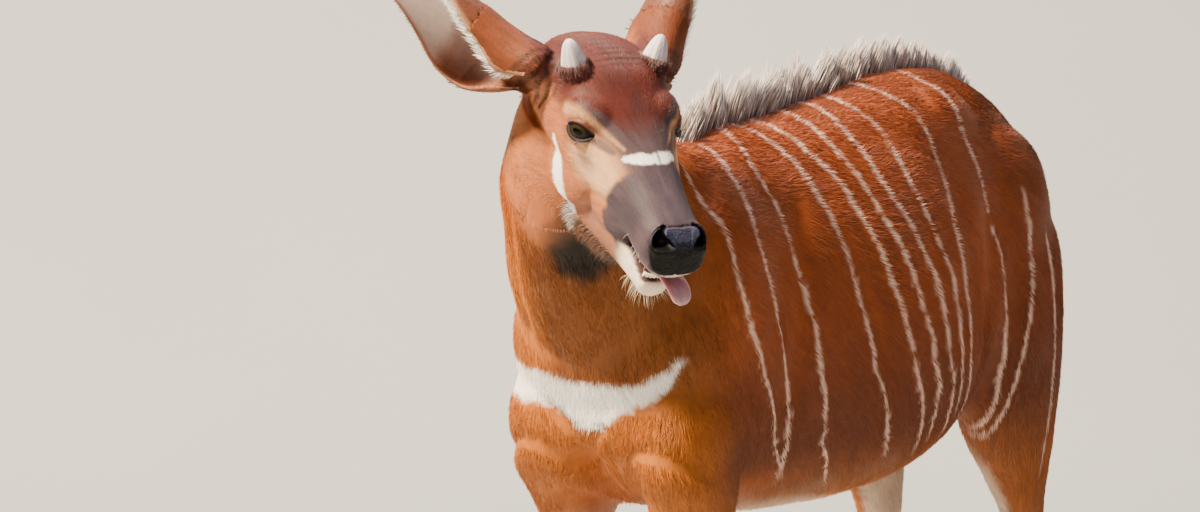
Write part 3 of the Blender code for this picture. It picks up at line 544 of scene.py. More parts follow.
def trunk():
    """The trunk's loft, from the breast to the buttocks."""
    rows = []
    for y, back, belly, half, power in TRUNK:
        widest = belly + WIDEST_SHARE * (back - belly)
        rows.append((y, widest, half, back - widest, widest - belly, power))
    ends = (BREAST_ROUND, BUTTOCK_ROUND)
    return slices_along(rows, (0, 0, 0), (1, 0, 0), (0, 0, 1), (0, 1, 0), 60, 72, ends)


def neck(first=0.0):
    """The neck's loft from this share of its length on."""
    rows = hermite(NECK, NECK_RINGS)
    centres = rows[:, :3]
    along = np.gradient(centres, axis=0)
    turn = np.radians(rows[:, 6])
    side = np.stack((np.cos(turn), np.sin(turn), 0 * turn), axis=1)
    side = unit(side - along * ((side * along).sum(1) / (along * along).sum(1))[:, None])
    up = np.cross(along, side)
    up = unit(up * np.sign(up[:, 2:]))
    rings = [section(centres[i], side[i], up[i], *rows[i, 3:6], 2.1, 72)
             for i in range(int(first * NECK_RINGS), NECK_RINGS)]
    return capped(rings)


def stride_at(name, z):
    """How far behind its rest a leg's middle stands at this height."""
    return STRIDE[name] * max(0.0, 1 - z / SHEAR_TOP)


def leg(name):
    """A whole leg down to the top of its claws, sheared below the trunk by its stride."""
    rows = hermite(FORELEG if name.startswith("fore") else HINDLEG, 90)
    mirror = 1 if name.endswith("left") else -1
    side, ahead = np.array((1.0, 0, 0)), np.array((0, -1.0, 0))
    rings = []
    for z, x, y, half, front, back in rows:
        centre = np.array((mirror * x, y + stride_at(name, z), z))
        rings.append(section(centre, side, ahead, half, front, back, 2.1, 40))
    return capped(rings)


def tail_loft():
    """The tail's round loft, from the croup down."""
    rows = hermite(TAIL, 40)
    along = unit(np.gradient(rows[:, :2], axis=0))
    rings = []
    for (y, z, radius), (dy, dz) in zip(rows, along):
        rings.append(section(np.array((0, y, z)), (1, 0, 0), (0, -dz, dy), radius, radius, radius, 2, 20))
    return capped(rings)


def ball(centre, half, axes):
    """A sphere stretched by three half lengths along three axes, as rings from pole to pole."""
    segments = 40
    polar = np.linspace(0.03, math.pi - 0.03, segments // 2)
    angle = np.linspace(0, 2 * math.pi, segments, endpoint=False)
    x = np.outer(np.sin(polar), np.cos(angle)) * half[0]
    y = np.outer(np.sin(polar), np.sin(angle)) * half[1]
    z = np.outer(np.cos(polar), np.ones(segments)) * half[2]
    return capped(np.asarray(centre) + np.stack((x, y, z), -1) @ np.asarray(axes, float))


def muscle(form, mirror):
    """A ball that is turned about X."""
    (x, y, z), half, turn = form
    c, s = math.cos(math.radians(turn)), math.sin(math.radians(turn))
    return ball((mirror * x, y, z), half, ((1, 0, 0), (0, c, s), (0, -s, c)))


def head_ball(form, mirror):
    """A ball along the head's own axes."""
    (f, l, u), half = form
    return ball(from_head((f, mirror * l, u)), half, HEAD)


def skull():
    """The upper head's loft, from the poll to the nose."""
    return slices_along(SKULL, HEAD_AT, HEAD[1], HEAD[2], HEAD[0], 70, 72, (0.006, NOSE_ROUND))


def jaw():
    """The lower jaw's loft, from its angle to the chin."""
    return slices_along(JAW, HEAD_AT, HEAD[1], HEAD[2], HEAD[0], 60, 48, (0.01, CHIN_ROUND))


def eye_frame(mirror):
    """The eye's centre and its axes: along the opening, up across it and out of the eye."""
    out = unit((math.cos(EYE_TURN_OUT), mirror * math.sin(EYE_TURN_OUT), 0.20))
    wide = np.array((math.sin(EYE_TURN_OUT), -mirror * math.cos(EYE_TURN_OUT), EYE_TILT))
    wide = unit(wide - out * out.dot(wide))
    high = np.cross(out, wide) * mirror
    centre = from_head((EYE_AT[0], mirror * EYE_AT[1], EYE_AT[2]))
    return centre, np.array([head_way(v) for v in (wide, high, out)])


def opening_scale(x, y):
    """How far a point is from the eye opening's middle, where 1 is its edge: two arcs meeting in corners."""
    x, y = np.abs(x) / EYE_OPENING[0], np.abs(y) / EYE_OPENING[1]
    return (y + np.sqrt(y * y + 4 * x * x)) / 2


def horn_line(mirror):
    """Where a horn's foot is, and its direction."""
    f, l, u = HORN_AT
    lean = head_way((HORN_LEAN[0], mirror * HORN_LEAN[1], HORN_LEAN[2]))
    return from_head((f, mirror * l, u)), lean


def across(way):
    """Two directions that stand square to this one."""
    side = unit(np.cross(way, (0.3, 0.2, 1.0)))
    return side, np.cross(way, side)


def round_way(turn, side, ahead):
    """The directions at these angles round a line."""
    return np.cos(turn)[:, None] * side + np.sin(turn)[:, None] * ahead


def pedicle(mirror):
    """The low bony foot under a horn."""
    foot, lean = horn_line(mirror)
    side, ahead = across(lean)
    rings = [
        section(foot + lean * reach, side, ahead, radius, radius, radius, 2, 32)
        for reach, radius in ((-0.016, 0.020), (0.0, 0.0185), (0.006, 0.0172), (PEDICLE, 0.0158))
    ]
    return capped(rings)


def ear_frame(form):
    """An ear's root, and its axes: along it, out of its opening and across it."""
    root, along, opening = form
    along = head_way(along)
    opening = head_way(opening)
    opening = unit(opening - along * along.dot(opening))
    return from_head(root), along, opening, np.cross(along, opening)


def rearwards(form):
    """The way from an ear's middle line to its rear edge."""
    return ear_frame(form)[3] * math.copysign(1, form[0][1])


def ear_foot(form):
    """The furred root of an ear, a short solid cone inside its cup's foot."""
    root, along, opening, wide = ear_frame(form)
    rings = []
    for share, half in ((-0.10, 0.026), (0.0, 0.0225), (0.07, 0.0200), (0.13, 0.0150)):
        centre = root + along * EAR_LENGTH * share + rearwards(form) * 0.16 * max(share, 0)
        rings.append(section(centre, wide, opening, half, half * 0.7, half, 2, 32))
    return capped(rings)


def ear_root(form):
    """The funnel round an ear's foot: the cup's own rings, a little wider, in a wall that thins outwards."""
    root, along, opening, wide = ear_frame(form)
    rows = hermite(EAR, 60)
    rings = []
    for share in np.linspace(-0.05, 0.34, 16):
        half, depth, turn, lean = columns_at(share, rows)
        wall = float(np.interp(share, (-0.05, 0.06, 0.16, 0.34), (0.021, 0.018, 0.0095, 0.0045)))
        ring = cup_ring(half + 0.0022, depth + 0.0022, turn, 24, wall)
        centre = root + along * EAR_LENGTH * share - opening * EAR_BOW * math.sin(math.pi * max(share, 0))
        centre = centre + rearwards(form) * lean
        rings.append(centre + ring[:, :1] * wide - ring[:, 1:] * opening)
    return capped(rings)


def head_relief(points):
    """Folds and hollows of the head, in metres along the skin; grooves are below 0."""
    place = to_head(points)
    f, l, u = place.T
    side = np.abs(l)
    left = folded(place)
    rise = -0.0011 * ear_fold_share(place) * ease(0.074, 0.064, side) * ease(0.046, 0.036, u)
    crown = bell(f - 0.020, 0.020) * bell(l, 0.040) * ease(0.03, 0.05, u)
    rise += 0.0007 * crown * np.sin((f + 0.006 * mottle(place, 0.016, 113)) * 2 * math.pi / 0.0095)
    rise -= 0.0022 * swell(left, (0.112, 0.050, -0.016), (0.020, 0.016, 0.016))
    rise -= 0.0016 * swell(left, (0.182, 0.032, -0.022), (0.030, 0.010, 0.012))
    lip = bell(u + 0.046 + 0.12 * (0.20 - f), 0.006)
    rise += 0.0012 * lip * ease(0.170, 0.190, f) * ease(0.01, 0.02, side)
    return rise + 0.0010 * ripple(place, 0.020, 114)


# Folds of the breast, seen from the front: across, nothing, up and the half width of each groove.
BREAST_FOLDS = (
    (
        (-0.052, 0, 0.622, 0.003), (-0.035, 0, 0.607, 0.008), (-0.014, 0, 0.588, 0.010),
        (-0.013, 0, 0.560, 0.012),
    ),
    ((0.026, 0, 0.600, 0.003), (0.008, 0, 0.584, 0.007), (-0.008, 0, 0.562, 0.010)),
)
# Folds below an ear's foot, seen from the side: ahead, nothing, up and the half width of each groove.
EAR_FOLDS = (
    ((-0.008, 0, 0.050, 0.0020), (-0.004, 0, 0.030, 0.0030), (-0.006, 0, 0.006, 0.0020)),
    (
        (0.001, 0, 0.052, 0.0020), (0.004, 0, 0.034, 0.0036), (0.001, 0, 0.014, 0.0030),
        (-0.008, 0, -0.008, 0.0018),
    ),
    (
        (0.010, 0, 0.050, 0.0020), (0.013, 0, 0.032, 0.0038), (0.009, 0, 0.008, 0.0036),
        (-0.006, 0, -0.028, 0.0018),
    ),
    (
        (0.022, 0, 0.050, 0.0018), (0.023, 0, 0.030, 0.0032), (0.021, 0, 0.008, 0.0030),
        (0.012, 0, -0.018, 0.0015),
    ),
    ((0.034, 0, 0.036, 0.0012), (0.034, 0, 0.020, 0.0022), (0.030, 0, 0.004, 0.0012)),
)


def ear_fold_share(place):
    """1 in a groove below an ear's foot."""
    flat = (place + 0.003 * ripple(place, 0.015, 116)[:, None]) * (1, 0, 1)
    found = np.zeros(len(place))
    for line in EAR_FOLDS:
        found = np.maximum(found, marked(flat, line, 0.7))
    side = np.abs(place[:, 1])
    return found * within(side, 0.046, 0.058, 0.098, 0.112)


def body_relief(points):
    """Folds and muscle edges of the body, in metres along the skin; grooves are below 0."""
    x, y, z = points.T
    side = np.abs(x)
    front = ease(-0.33, -0.36, y)
    flat = np.stack((x, 0 * x, z), -1)
    rise = -0.016 * bell(x + 0.014, 0.014) * ease(0.578, 0.545, z) * front
    for line in BREAST_FOLDS:
        rise -= 0.0042 * marked(flat, line, 0.9) * front
    crease = z - (0.577 - 8.5 * (side - 0.080) ** 2)
    arch = front * within(side, 0.012, 0.030, 0.124, 0.134)
    rise += arch * (0.0040 * bell(crease + 0.030, 0.022) - 0.0036 * bell(crease, 0.0080))
    blade = y + 0.190 + 0.30 * (0.70 - z)
    rise -= 0.0050 * bell(blade, 0.020) * within(z, 0.52, 0.58, 0.80, 0.86)
    flank = y - 0.205 - 0.25 * (z - 0.70)
    rise -= 0.0065 * bell(flank, 0.022) * within(z, 0.52, 0.58, 0.74, 0.82)
    rise -= 0.0060 * bell(y - 0.165, 0.045) * bell(z - 0.838, 0.030)
    ribs = np.sin((y + 0.30 * z) * 2 * math.pi / 0.036) * within(y, -0.16, -0.10, 0.10, 0.16)
    rise += 0.0009 * ribs * within(z, 0.54, 0.60, 0.76, 0.84)
    neck_band = ease(-0.25, -0.33, y) * ease(0.62, 0.70, z)
    rise += 0.0050 * neck_band * ripple(points * (1, 1, 0.22), 0.024, 115)
    jugular = bell(side - 0.052 - 0.10 * (0.80 - z), 0.010)
    rise -= 0.0040 * neck_band * jugular * ease(-0.36, -0.40, y)
    limbs = ease(0.52, 0.44, z)
    rise += 0.0026 * limbs * ripple(points * (1, 1, 0.4), 0.020, 116)
    return rise + 0.0034 * ripple(points, 0.055, 117) * ease(0.46, 0.52, z)


def hull(parts, voxel, softening):
    """The voxel hull of closed surfaces, softened: its points and triangles in the calf's frame."""
    whole = make_object("hull", *joined(parts))
    step = whole.modifiers.new("hull", "REMESH")
    step.mode = "VOXEL"
    step.voxel_size = voxel
    step = whole.modifiers.new("soft", "SMOOTH")
    step.factor = 0.5
    step.iterations = softening
    step = whole.modifiers.new("triangles", "TRIANGULATE")
    mesh = bpy.data.meshes.new_from_object(whole.evaluated_get(bpy.context.evaluated_depsgraph_get()))
    points = np.zeros(len(mesh.vertices) * 3, np.float32)
    mesh.vertices.foreach_get("co", points)
    corners = np.zeros(len(mesh.loops), np.int32)
    mesh.loops.foreach_get("vertex_index", corners)
    bpy.data.objects.remove(whole)
    bpy.data.meshes.remove(mesh)
    return points.reshape(-1, 3).astype(float) - SHIFT, corners.reshape(-1, 3)


def body_hull():
    """Trunk, neck, legs and tail."""
    parts = [trunk(), neck(), tail_loft(), muscle(BREAST, 1)]
    parts += [leg(name) for name in STRIDE]
    for mirror in (1, -1):
        parts += [muscle(form, mirror) for form in (SHOULDER, POINT_OF_SHOULDER, HAUNCH, HIP)]
    points, triangles = hull(parts, BODY_VOXEL, BODY_SOFTENING)
    return points + point_normals(points, triangles) * body_relief(points)[:, None], triangles


def head_hull():
    """Skull, jaw and the neck's end, the swells of brows, cheeks, lips and nostrils, and sunk eye sockets."""
    parts = [skull(), jaw(), neck(0.72)]
    for mirror, ear in ((1, EAR_LEFT), (-1, EAR_RIGHT)):
        parts += [head_ball(form, mirror) for form in (BROW, CHEEK, LIP, NOSTRIL_WING)]
        centre, axes = eye_frame(mirror)
        parts.append(ball(centre, (EYE_RADIUS + LID * 0.6,) * 3, axes))
        parts += [pedicle(mirror), ear_foot(ear), ear_root(ear)]
    points, triangles = hull(parts, HEAD_VOXEL, HEAD_SOFTENING)
    points = points + point_normals(points, triangles) * head_relief(points)[:, None]
    for mirror in (1, -1):
        centre, axes = eye_frame(mirror)
        x, y, out = ((points - centre) @ axes.T).T
        radius = np.linalg.norm(points - centre, axis=1)
        inside = (opening_scale(x, y) < 1.22) & (out > 0.3 * EYE_RADIUS) & (radius < 1.6 * EYE_RADIUS)
        sunk = centre + (points - centre) * ((EYE_RADIUS - 0.003) / radius)[:, None]
        points = np.where(inside[:, None], sunk, points)
    return points, triangles


def head_share(points):
    """How far a point belongs to the head: 0 behind the jaw and poll, 1 ahead of them."""
    return ease(-0.014, 0.014, (points - HEAD_EDGE) @ HEAD_EDGE_NORMAL)


# Markings and the lie of the coat

# The white stripes of a flank, front to rear: y at each girth angle, and the angles where it starts and ends.
# The girth angle runs round the trunk from 0 at the spine to 180 under the belly.
STRIPE_ANGLES = (5, 25, 45, 65, 90, 115, 140, 160)
STRIPES = (
    ((-0.360, -0.346, -0.328, -0.326, -0.307, -0.272, -0.224, -0.148), 22, 150),
    ((-0.232, -0.252, -0.256, -0.264, -0.252, -0.222, -0.202, -0.180), 8, 152),
    ((-0.172, -0.196, -0.184, -0.177, -0.168, -0.160, -0.138, -0.060), 3, 154),
    ((-0.140, -0.123, -0.106, -0.095, -0.084, -0.069, -0.020, 0.010), 3, 142),
    ((-0.100, -0.085, -0.063, -0.047, -0.027, -0.004, 0.042, 0.075), 3, 142),
    ((-0.038, -0.044, -0.034, -0.014, 0.010, 0.034, 0.062, 0.090), 3, 138),
    ((0.011, -0.003, -0.001, 0.022, 0.046, 0.065, 0.104, 0.135), 3, 140),
    ((0.057, 0.054, 0.049, 0.060, 0.081, 0.093, 0.120, 0.145), 3, 132),
    ((0.120, 0.146, 0.130, 0.111, 0.111, 0.120, 0.150, 0.175), 3, 138),
    ((0.228, 0.224, 0.233, 0.234, 0.256, 0.272, 0.276, 0.285), 3, 156),
    ((0.315, 0.313, 0.314, 0.316, 0.327, 0.312, 0.297, 0.290), 58, 158),
    ((0.372, 0.372, 0.373, 0.374, 0.376, 0.381, 0.396, 0.405), 78, 156),
)
STRIPE_HALF_WIDTH = 0.0024
STRIPE_UNEVEN = 0.006
GIRTH_CENTRE = 0.70


def stripe_share(points):
    """1 on a white stripe of either flank. A right stripe is up to 6 mm ahead of or behind its mirror image."""
    girth = np.degrees(np.arctan2(np.abs(points[:, 0]), points[:, 2] - GIRTH_CENTRE))
    girth += 3.0 * ripple(points, 0.03, 5)
    wave = 0.0030 * ripple(points, 0.030, 3) + 0.0022 * ripple(points, 0.006, 4)
    right = points[:, 0] < 0
    share = np.zeros(len(points))
    for number, (stations, start, end) in enumerate(STRIPES):
        line = np.interp(girth, STRIPE_ANGLES, stations)
        line = line + right * STRIPE_UNEVEN * math.sin(2.1 * number + 0.6)
        width = STRIPE_HALF_WIDTH * (0.75 + 0.6 * mottle(points, 0.05, 20 + number))
        off = np.abs(points[:, 1] + wave - line)
        here = 1 - ease(width * 0.55, width * 1.45, off)
        here *= ease(start - 3, start + 3, girth) * (1 - ease(end - 6, end + 4, girth))
        share = np.maximum(share, here)
    return share


def near_line(points, line, width, soft):
    """1 close to a line through places, 0 far from it, fading over a share of the width that each gives."""
    line = np.asarray(line, float)
    width = np.asarray(width, float)
    best = np.zeros(len(points))
    for a, b, wa, wb in zip(line[:-1], line[1:], width[:-1], width[1:]):
        step = b - a
        t = np.clip(((points - a) @ step) / (step @ step), 0, 1)
        off = np.linalg.norm(points - (a + t[:, None] * step), axis=1)
        reach = wa + (wb - wa) * t
        best = np.maximum(best, 1 - ease(1 - soft, 1 + soft, off / reach))
    return best


def body_colours(points):
    """The coat of trunk, neck, legs and tail at each point."""
    x, y, z = points.T
    side = np.abs(x)
    colour = painted(len(points), CHESTNUT)
    # Painted shade: the flank darkens low down and behind the elbows, where shade falls.
    behind_elbow_shade = ease(0.080, 0.115, side) * ease(-0.42, -0.32, y)
    colour = dyed(colour, FLANK_PAINTED_SHADE, 0.70 * ease(0.74, 0.52, z) * np.maximum(ease(-0.30, -0.10, y), behind_elbow_shade))
    colour = dyed(colour, RUMP, 0.75 * ease(0.20, 0.42, y))
    front = ease(-0.20, -0.36, y)
    breast = ease(-0.30, -0.43, y)
    colour = dyed(colour, ORANGE, breast * (0.85 * ease(0.95, 0.72, z)))
    # Painted shadow: the head's cast shadow, darkening the breast and lower neck from the middle to the calf's
    # left, under the head.
    shade = breast * within(z, 0.60, 0.66, 0.78, 0.86) * ease(-0.050, -0.015, x)
    colour = dyed(colour, NECK_PAINTED_SHADOW, 0.55 * shade)
    colour = dyed(colour, NAPE, front * ease(0.84, 0.96, z) * 0.8)
    colour = dyed(colour, BELLY, 0.85 * ease(0.525, 0.470, z) * within(y, -0.36, -0.28, 0.20, 0.30))
    colour = dyed(colour, LEG, 0.8 * ease(0.56, 0.44, z))
    spine = ease(0.014, 0.006, side) * ease(0.86, 0.89, z)
    colour = dyed(colour, BLACK_HAIR, 0.35 * spine * ease(-0.26, -0.22, y))
    colour = dyed(colour, STRIPE, stripe_share(points) * ease(0.40, 0.46, z))
    low, high = np.interp(x, CHEVRON_ACROSS, CHEVRON_LOW), np.interp(x, CHEVRON_ACROSS, CHEVRON_HIGH)
    wave = 0.006 * ripple(points, 0.02, 8) + 0.004 * ripple(points, 0.005, 9)
    chevron = ease(low - 0.004, low + 0.004, z + wave) * ease(high + 0.004, high - 0.004, z + wave)
    chevron *= ease(-0.375, -0.395, y) * within(x, -0.136, -0.126, 0.108, 0.114)
    colour = dyed(colour, WHITE_HAIR, chevron)
    return leg_markings(colour, points)


# The white chevron across the breast: its lower and upper height at places from right to left.
CHEVRON_ACROSS = (-0.125, -0.081, -0.050, -0.031, -0.005, 0.015, 0.047, 0.076, 0.097, 0.109)
CHEVRON_LOW = (0.624, 0.619, 0.619, 0.613, 0.592, 0.593, 0.614, 0.627, 0.645, 0.674)
CHEVRON_HIGH = (0.664, 0.656, 0.653, 0.651, 0.647, 0.645, 0.643, 0.649, 0.662, 0.678)


def leg_markings(colour, points):
    """Pale inner sides, black fronts, white bands over the hooves, then the tail's dark end."""
    x, y, z = points.T
    side = np.abs(x)
    fore = y < 0.05
    middle = np.where(fore, 0.080, 0.086)
    inner = ease(0.006, -0.008, side - middle)
    pale = inner * within(z, 0.20, 0.26, 0.42, 0.50) * np.where(fore, 0.85, 0.6)
    colour = dyed(colour, CREAM, pale)
    wave = 0.03 * ripple(points, 0.03, 12)
    band = ease(0.30, 0.27, z + wave) * ease(0.055, 0.075, z)
    colour = dyed(colour, BLACK_HAIR, 0.80 * band * ease(0.016, 0.004, np.abs(side - middle)))
    pastern = ease(0.104, 0.096, z + 0.4 * wave) * ease(0.050, 0.062, z)
    colour = dyed(colour, WHITE_HAIR, 0.9 * pastern)
    tuft = ease(0.61, 0.57, z) * (y > 0.485) * (side < 0.04)
    return dyed(colour, BLACK_HAIR, 0.85 * tuft)


# Marks of the face as lines on its left side: ahead, across and up, each with its half width.
BROW_LINE = (
    (0.064, 0.061, 0.043, 0.0025), (0.090, 0.052, 0.044, 0.0050), (0.109, 0.036, 0.034, 0.0075),
    (0.130, 0.022, 0.027, 0.0110), (0.140, 0.000, 0.027, 0.0130),
)
OVER_EYE = (
    (0.064, 0.062, 0.024, 0.0070), (0.078, 0.060, 0.031, 0.0064), (0.095, 0.051, 0.033, 0.0042),
    (0.116, 0.037, 0.028, 0.0026), (0.134, 0.026, 0.024, 0.0018),
)
TEAR_LINE = (
    (0.108, 0.050, 0.017, 0.0040), (0.120, 0.043, 0.018, 0.0045), (0.132, 0.036, 0.018, 0.0030),
)
CHEEK_PATCH = (
    (0.056, 0.062, -0.021, 0.0035), (0.064, 0.058, -0.044, 0.0105), (0.077, 0.051, -0.069, 0.0125),
    (0.085, 0.045, -0.086, 0.0098), (0.094, 0.035, -0.104, 0.0120), (0.102, 0.020, -0.126, 0.0045),
)
# The dark muzzle begins this far ahead, by height from the lips up to the bridge.
MUZZLE_UP = (-0.082, -0.072, -0.060, -0.045, -0.030, 0.000, 0.020)
MUZZLE_FROM = (0.180, 0.166, 0.151, 0.148, 0.151, 0.157, 0.159)
THROAT_PATCH = ((0.098, -0.006, -0.158), (0.046, 0.040, 0.031))


def marked(points, line, soft=0.2):
    """near_line for a row of places that carry their own half widths."""
    line = np.array(line)
    return near_line(points, line[:, :3], line[:, 3], soft)


def head_colours(points):
    """The coat of the head at each point, by its place along, across and up the face."""
    place = to_head(points)
    f, l, u = place.T
    side = np.abs(l)
    blur = 0.007 * ripple(points, 0.009, 31) + 0.003 * ripple(points, 0.003, 32)
    left = folded(place) + blur[:, None] * 0.35
    colour = painted(len(points), FACE_SIDE)
    top = ease(0.002, 0.030, u + 0.25 * (0.045 - side) + blur)
    colour = dyed(colour, MAROON, top)
    streak = mottle(place * (0.35, 1, 1), 0.010, 33)
    colour = dyed(colour, FOREHEAD_DARK, 0.55 * top * ease(0.35, 0.8, streak))
    colour = dyed(colour, ORANGE, 0.6 * ease(0.030, -0.030, f) * ease(0.020, -0.03, u))
    colour = dyed(colour, EAR_ROOT, ease(0.064, 0.084, side) * ease(0.05, 0.03, f))
    # Painted shade in the folds below the ears.
    colour = colour * (1 - 0.55 * ear_fold_share(place))[:, None]
    colour = dyed(colour, BUFF, patch(left, (0.124, 0.046, -0.008), (0.046, 0.034, 0.034), 0.45, 1.25))
    # Painted shadow in the hollow under each eye.
    under = patch(left, (0.112, 0.050, -0.012), (0.024, 0.016, 0.012), 0.3, 1.1)
    colour = dyed(colour, EYE_HOLLOW_PAINTED_SHADOW, 0.6 * under)
    colour = dyed(colour, JAW_BROWN, 0.75 * ease(-0.040, -0.070, u + blur) * ease(0.085, 0.125, f))
    colour = dyed(colour, JAW_GREY, 0.80 * ease(-0.099, -0.116, u + blur) * within(f, 0.06, 0.09, 0.16, 0.19))
    vee = ease(0.096, 0.134, f + blur) * ease(0.040, 0.018, side) * ease(0.0, 0.012, u)
    vee = np.maximum(vee, marked(left, BROW_LINE, 0.5))
    colour = dyed(colour, FACE_DARK, 0.85 * vee)
    starts = np.interp(u, MUZZLE_UP, MUZZLE_FROM)
    muzzle = ease(-0.003, 0.005, f - starts + blur)
    tone = dyed(painted(len(points), MUZZLE), MUZZLE_RED, 0.7 * mottle(place * (0.4, 1, 1), 0.009, 34))
    colour = mixed(colour, tone, muzzle)
    bend = f - 0.1525 + 10.0 * side**2
    half = 0.0070 * np.sqrt(np.clip(1 - ((side - 0.012) / 0.019) ** 2, 0, 1))
    bar = ease(half + 0.0012, half - 0.0012, np.abs(bend + 0.5 * blur)) * (half > 0) * ease(-0.006, 0.004, u)
    colour = dyed(colour, WHITE_HAIR, bar * (1 - 0.75 * ease(0.0022, 0.0008, np.abs(l - 0.008))))
    colour = dyed(colour, OVER_EYE_BUFF, 0.85 * marked(left, OVER_EYE, 0.8))
    colour = dyed(colour, FACE_DARK, 0.80 * marked(left, TEAR_LINE, 0.5))
    chin = ease(0.168, 0.190, f) * ease(-0.062, -0.070, u)
    colour = dyed(colour, CREAM, chin)
    edge = ease(-0.038, -0.046, u) * ease(0.190, 0.214, f) * ease(-0.066, -0.058, u)
    return dyed(colour, CREAM, 0.85 * edge)


def inside_cup(points, form, flip):
    """How far inside an ear's cup a place of the skin is, its share along the ear and its place across."""
    root, along, opening, wide = ear_frame(form)
    rows = hermite(EAR, 60)
    share = (points - root) @ along / EAR_LENGTH
    half, depth, turn, lean = columns_at(share, rows)
    centre = root + np.outer(share * EAR_LENGTH, along) + np.outer(lean, rearwards(form))
    centre = centre - np.outer(EAR_BOW * np.sin(math.pi * share.clip(0, 1)), opening)
    across_cup = (points - centre) @ wide
    behind = -(points - centre) @ opening
    inner = ease(0.99, 0.95, np.hypot(across_cup / half, behind / depth))
    inner = inner * ease(0.06, 0.10, share) * (share < 0.5)
    place = np.degrees(np.arctan2(across_cup / half, behind / depth)) / turn * flip
    return inner, share, place


def mouth_share(points, normals):
    """1 inside the mouth, between the upper jaw's underside and the lower jaw's top."""
    f, _, u = to_head(points).T
    up = normals @ HEAD[2]
    roof = ease(-0.35, -0.70, up) * within(u, -0.078, -0.070, -0.048, -0.040)
    floor = ease(0.45, 0.80, up) * ease(-0.055, -0.062, u)
    return np.maximum(roof, floor) * within(f, 0.150, 0.166, 0.258, 0.262)


def markings(points):
    """The coat's colour at each point of the animal, with patches of lighter and darker hair."""
    share = head_share(points)
    colour = mixed(body_colours(points), head_colours(points), share)
    tone = 0.88 + 0.16 * mottle(points, 0.045, 41) + 0.10 * mottle(points, 0.014, 42)
    colour = colour * tone[:, None]
    place = to_head(points)
    centre, reach = THROAT_PATCH
    away = np.linalg.norm((place - centre) / reach, axis=1) + 0.25 * ripple(place, 0.012, 43)
    colour = dyed(colour, THROAT_BLACK, 0.96 * ease(1.15, 0.55, away))
    for form, flip in ((EAR_RIGHT, 1), (EAR_LEFT, -1)):
        inner, along_ear, over_ear = inside_cup(points, form, flip)
        colour = mixed(colour, ear_inside(along_ear, over_ear), inner)
    left = folded(place) + 0.002 * ripple(place, 0.004, 44)[:, None]
    return dyed(colour, WHITE_HAIR, marked(left, CHEEK_PATCH))


def brushed(points, way, size, reach, seed):
    """Noise of this size drawn out along the hair: its mean over seven places up to reach to both sides."""
    total = np.zeros(len(points))
    for step in np.linspace(-1, 1, 7):
        total += mottle(points + way * (step * reach), size, seed)
    return np.clip((total / 7 - 0.5) * 2.2 + 0.5, 0, 1)


def on_skin(way, normals):
    """Directions laid flat on the skin that has these normals."""
    return unit(way - normals * (way * normals).sum(1)[:, None])


def lie(points, normals):
    """The direction in which the hair lies: back and down the trunk, down the legs, up the face."""
    x, y, z = points.T
    ones = np.ones(len(points))
    down = ease(0.90, 0.60, z)
    way = np.stack((0.10 * np.sign(x), 0.95 - 0.45 * down, -0.18 - 0.75 * down), -1)
    neck_way = np.stack((-0.05 * ones, 0.45 - 0.30 * ease(-0.36, -0.44, y), -0.95 * ones), -1)
    way = mixed(way, neck_way, ease(-0.24, -0.36, y))
    way = mixed(way, np.array((0, 0.10, -1.0)), ease(0.54, 0.42, z))
    way = mixed(way, np.array((0, 0.05, -1.0)), ease(0.485, 0.495, y))
    f, l, u = to_head(points).T
    outwards = 0.30 * np.sign(l) * ease(0.0, 0.03, np.abs(l))
    face = np.stack((-ones, outwards, -0.10 - 0.45 * ease(0.0, -0.05, u)), -1)
    throat = ease(-0.085, -0.115, u) * ease(0.13, 0.09, f)
    way = mixed(way, mixed(face @ HEAD, neck_way, throat), head_share(points))
    swirl = 0.9 * ripple(points, 0.05, 51)
    return on_skin(way + np.cross(normals, way) * swirl[:, None], normals)


def hair_length(points):
    """How long the coat is at each point."""
    _, y, z = points.T
    length = 0.0150 + 0.004 * ease(0.56, 0.48, z) * ease(-0.40, -0.34, y)
    length -= 0.0065 * ease(0.50, 0.36, z)
    length -= 0.0020 * ease(0.20, 0.08, z)
    length += 0.004 * ease(0.485, 0.5, y)
    f, _, u = to_head(points).T
    face = 0.0095 - 0.0030 * ease(0.06, 0.15, f) - 0.0025 * ease(0.17, 0.22, f)
    face += 0.006 * ease(0.090, 0.105, f) * ease(-0.10, -0.125, u) * ease(0.16, 0.13, f)
    share = head_share(points)
    return length + (face - length) * share


# Hair


def inset(share):
    """Shares of a map's side, kept a hundredth clear of its edges."""
    return 0.01 + 0.98 * np.clip(share, 0, 1)


def round_share(across, up):
    """The direction round a middle line as a share of a full turn."""
    return np.arctan2(across, up) / (2 * math.pi) + 0.5


def body_map(points):
    """The skin unrolled round the trunk: its length one way and its girth the other."""
    girth = round_share(points[:, 0], points[:, 2] - 0.60)
    return np.stack((inset((points[:, 1] + 0.56) / 1.10), inset(girth)), -1)


def leg_map(points):
    """The four legs unrolled side by side, each round its own middle and down its height."""
    number = (points[:, 0] > 0) * 1 + (points[:, 1] > 0.05) * 2
    middle_x = np.where(points[:, 0] > 0, 0.08, -0.08)
    middle_y = np.zeros(len(points))
    for k, name in enumerate(("foreleg_right", "foreleg_left", "hindleg_right", "hindleg_left")):
        rows = np.array(FORELEG if k < 2 else HINDLEG)[::-1]
        shear = STRIDE[name] * np.clip(1 - points[:, 2] / SHEAR_TOP, 0, 1)
        middle_y = np.where(number == k, np.interp(points[:, 2], rows[:, 0], rows[:, 2]) + shear, middle_y)
    girth = round_share(points[:, 0] - middle_x, points[:, 1] - middle_y)
    return np.stack(((number + 0.03 + 0.94 * girth) / 4, inset(points[:, 2] / 0.70)), -1)


def head_map(points):
    """The head unrolled round the line from poll to nose."""
    f, l, u = to_head(points).T
    return np.stack((inset((f + 0.12) / 0.40), inset(round_share(l, u + 0.035))), -1)


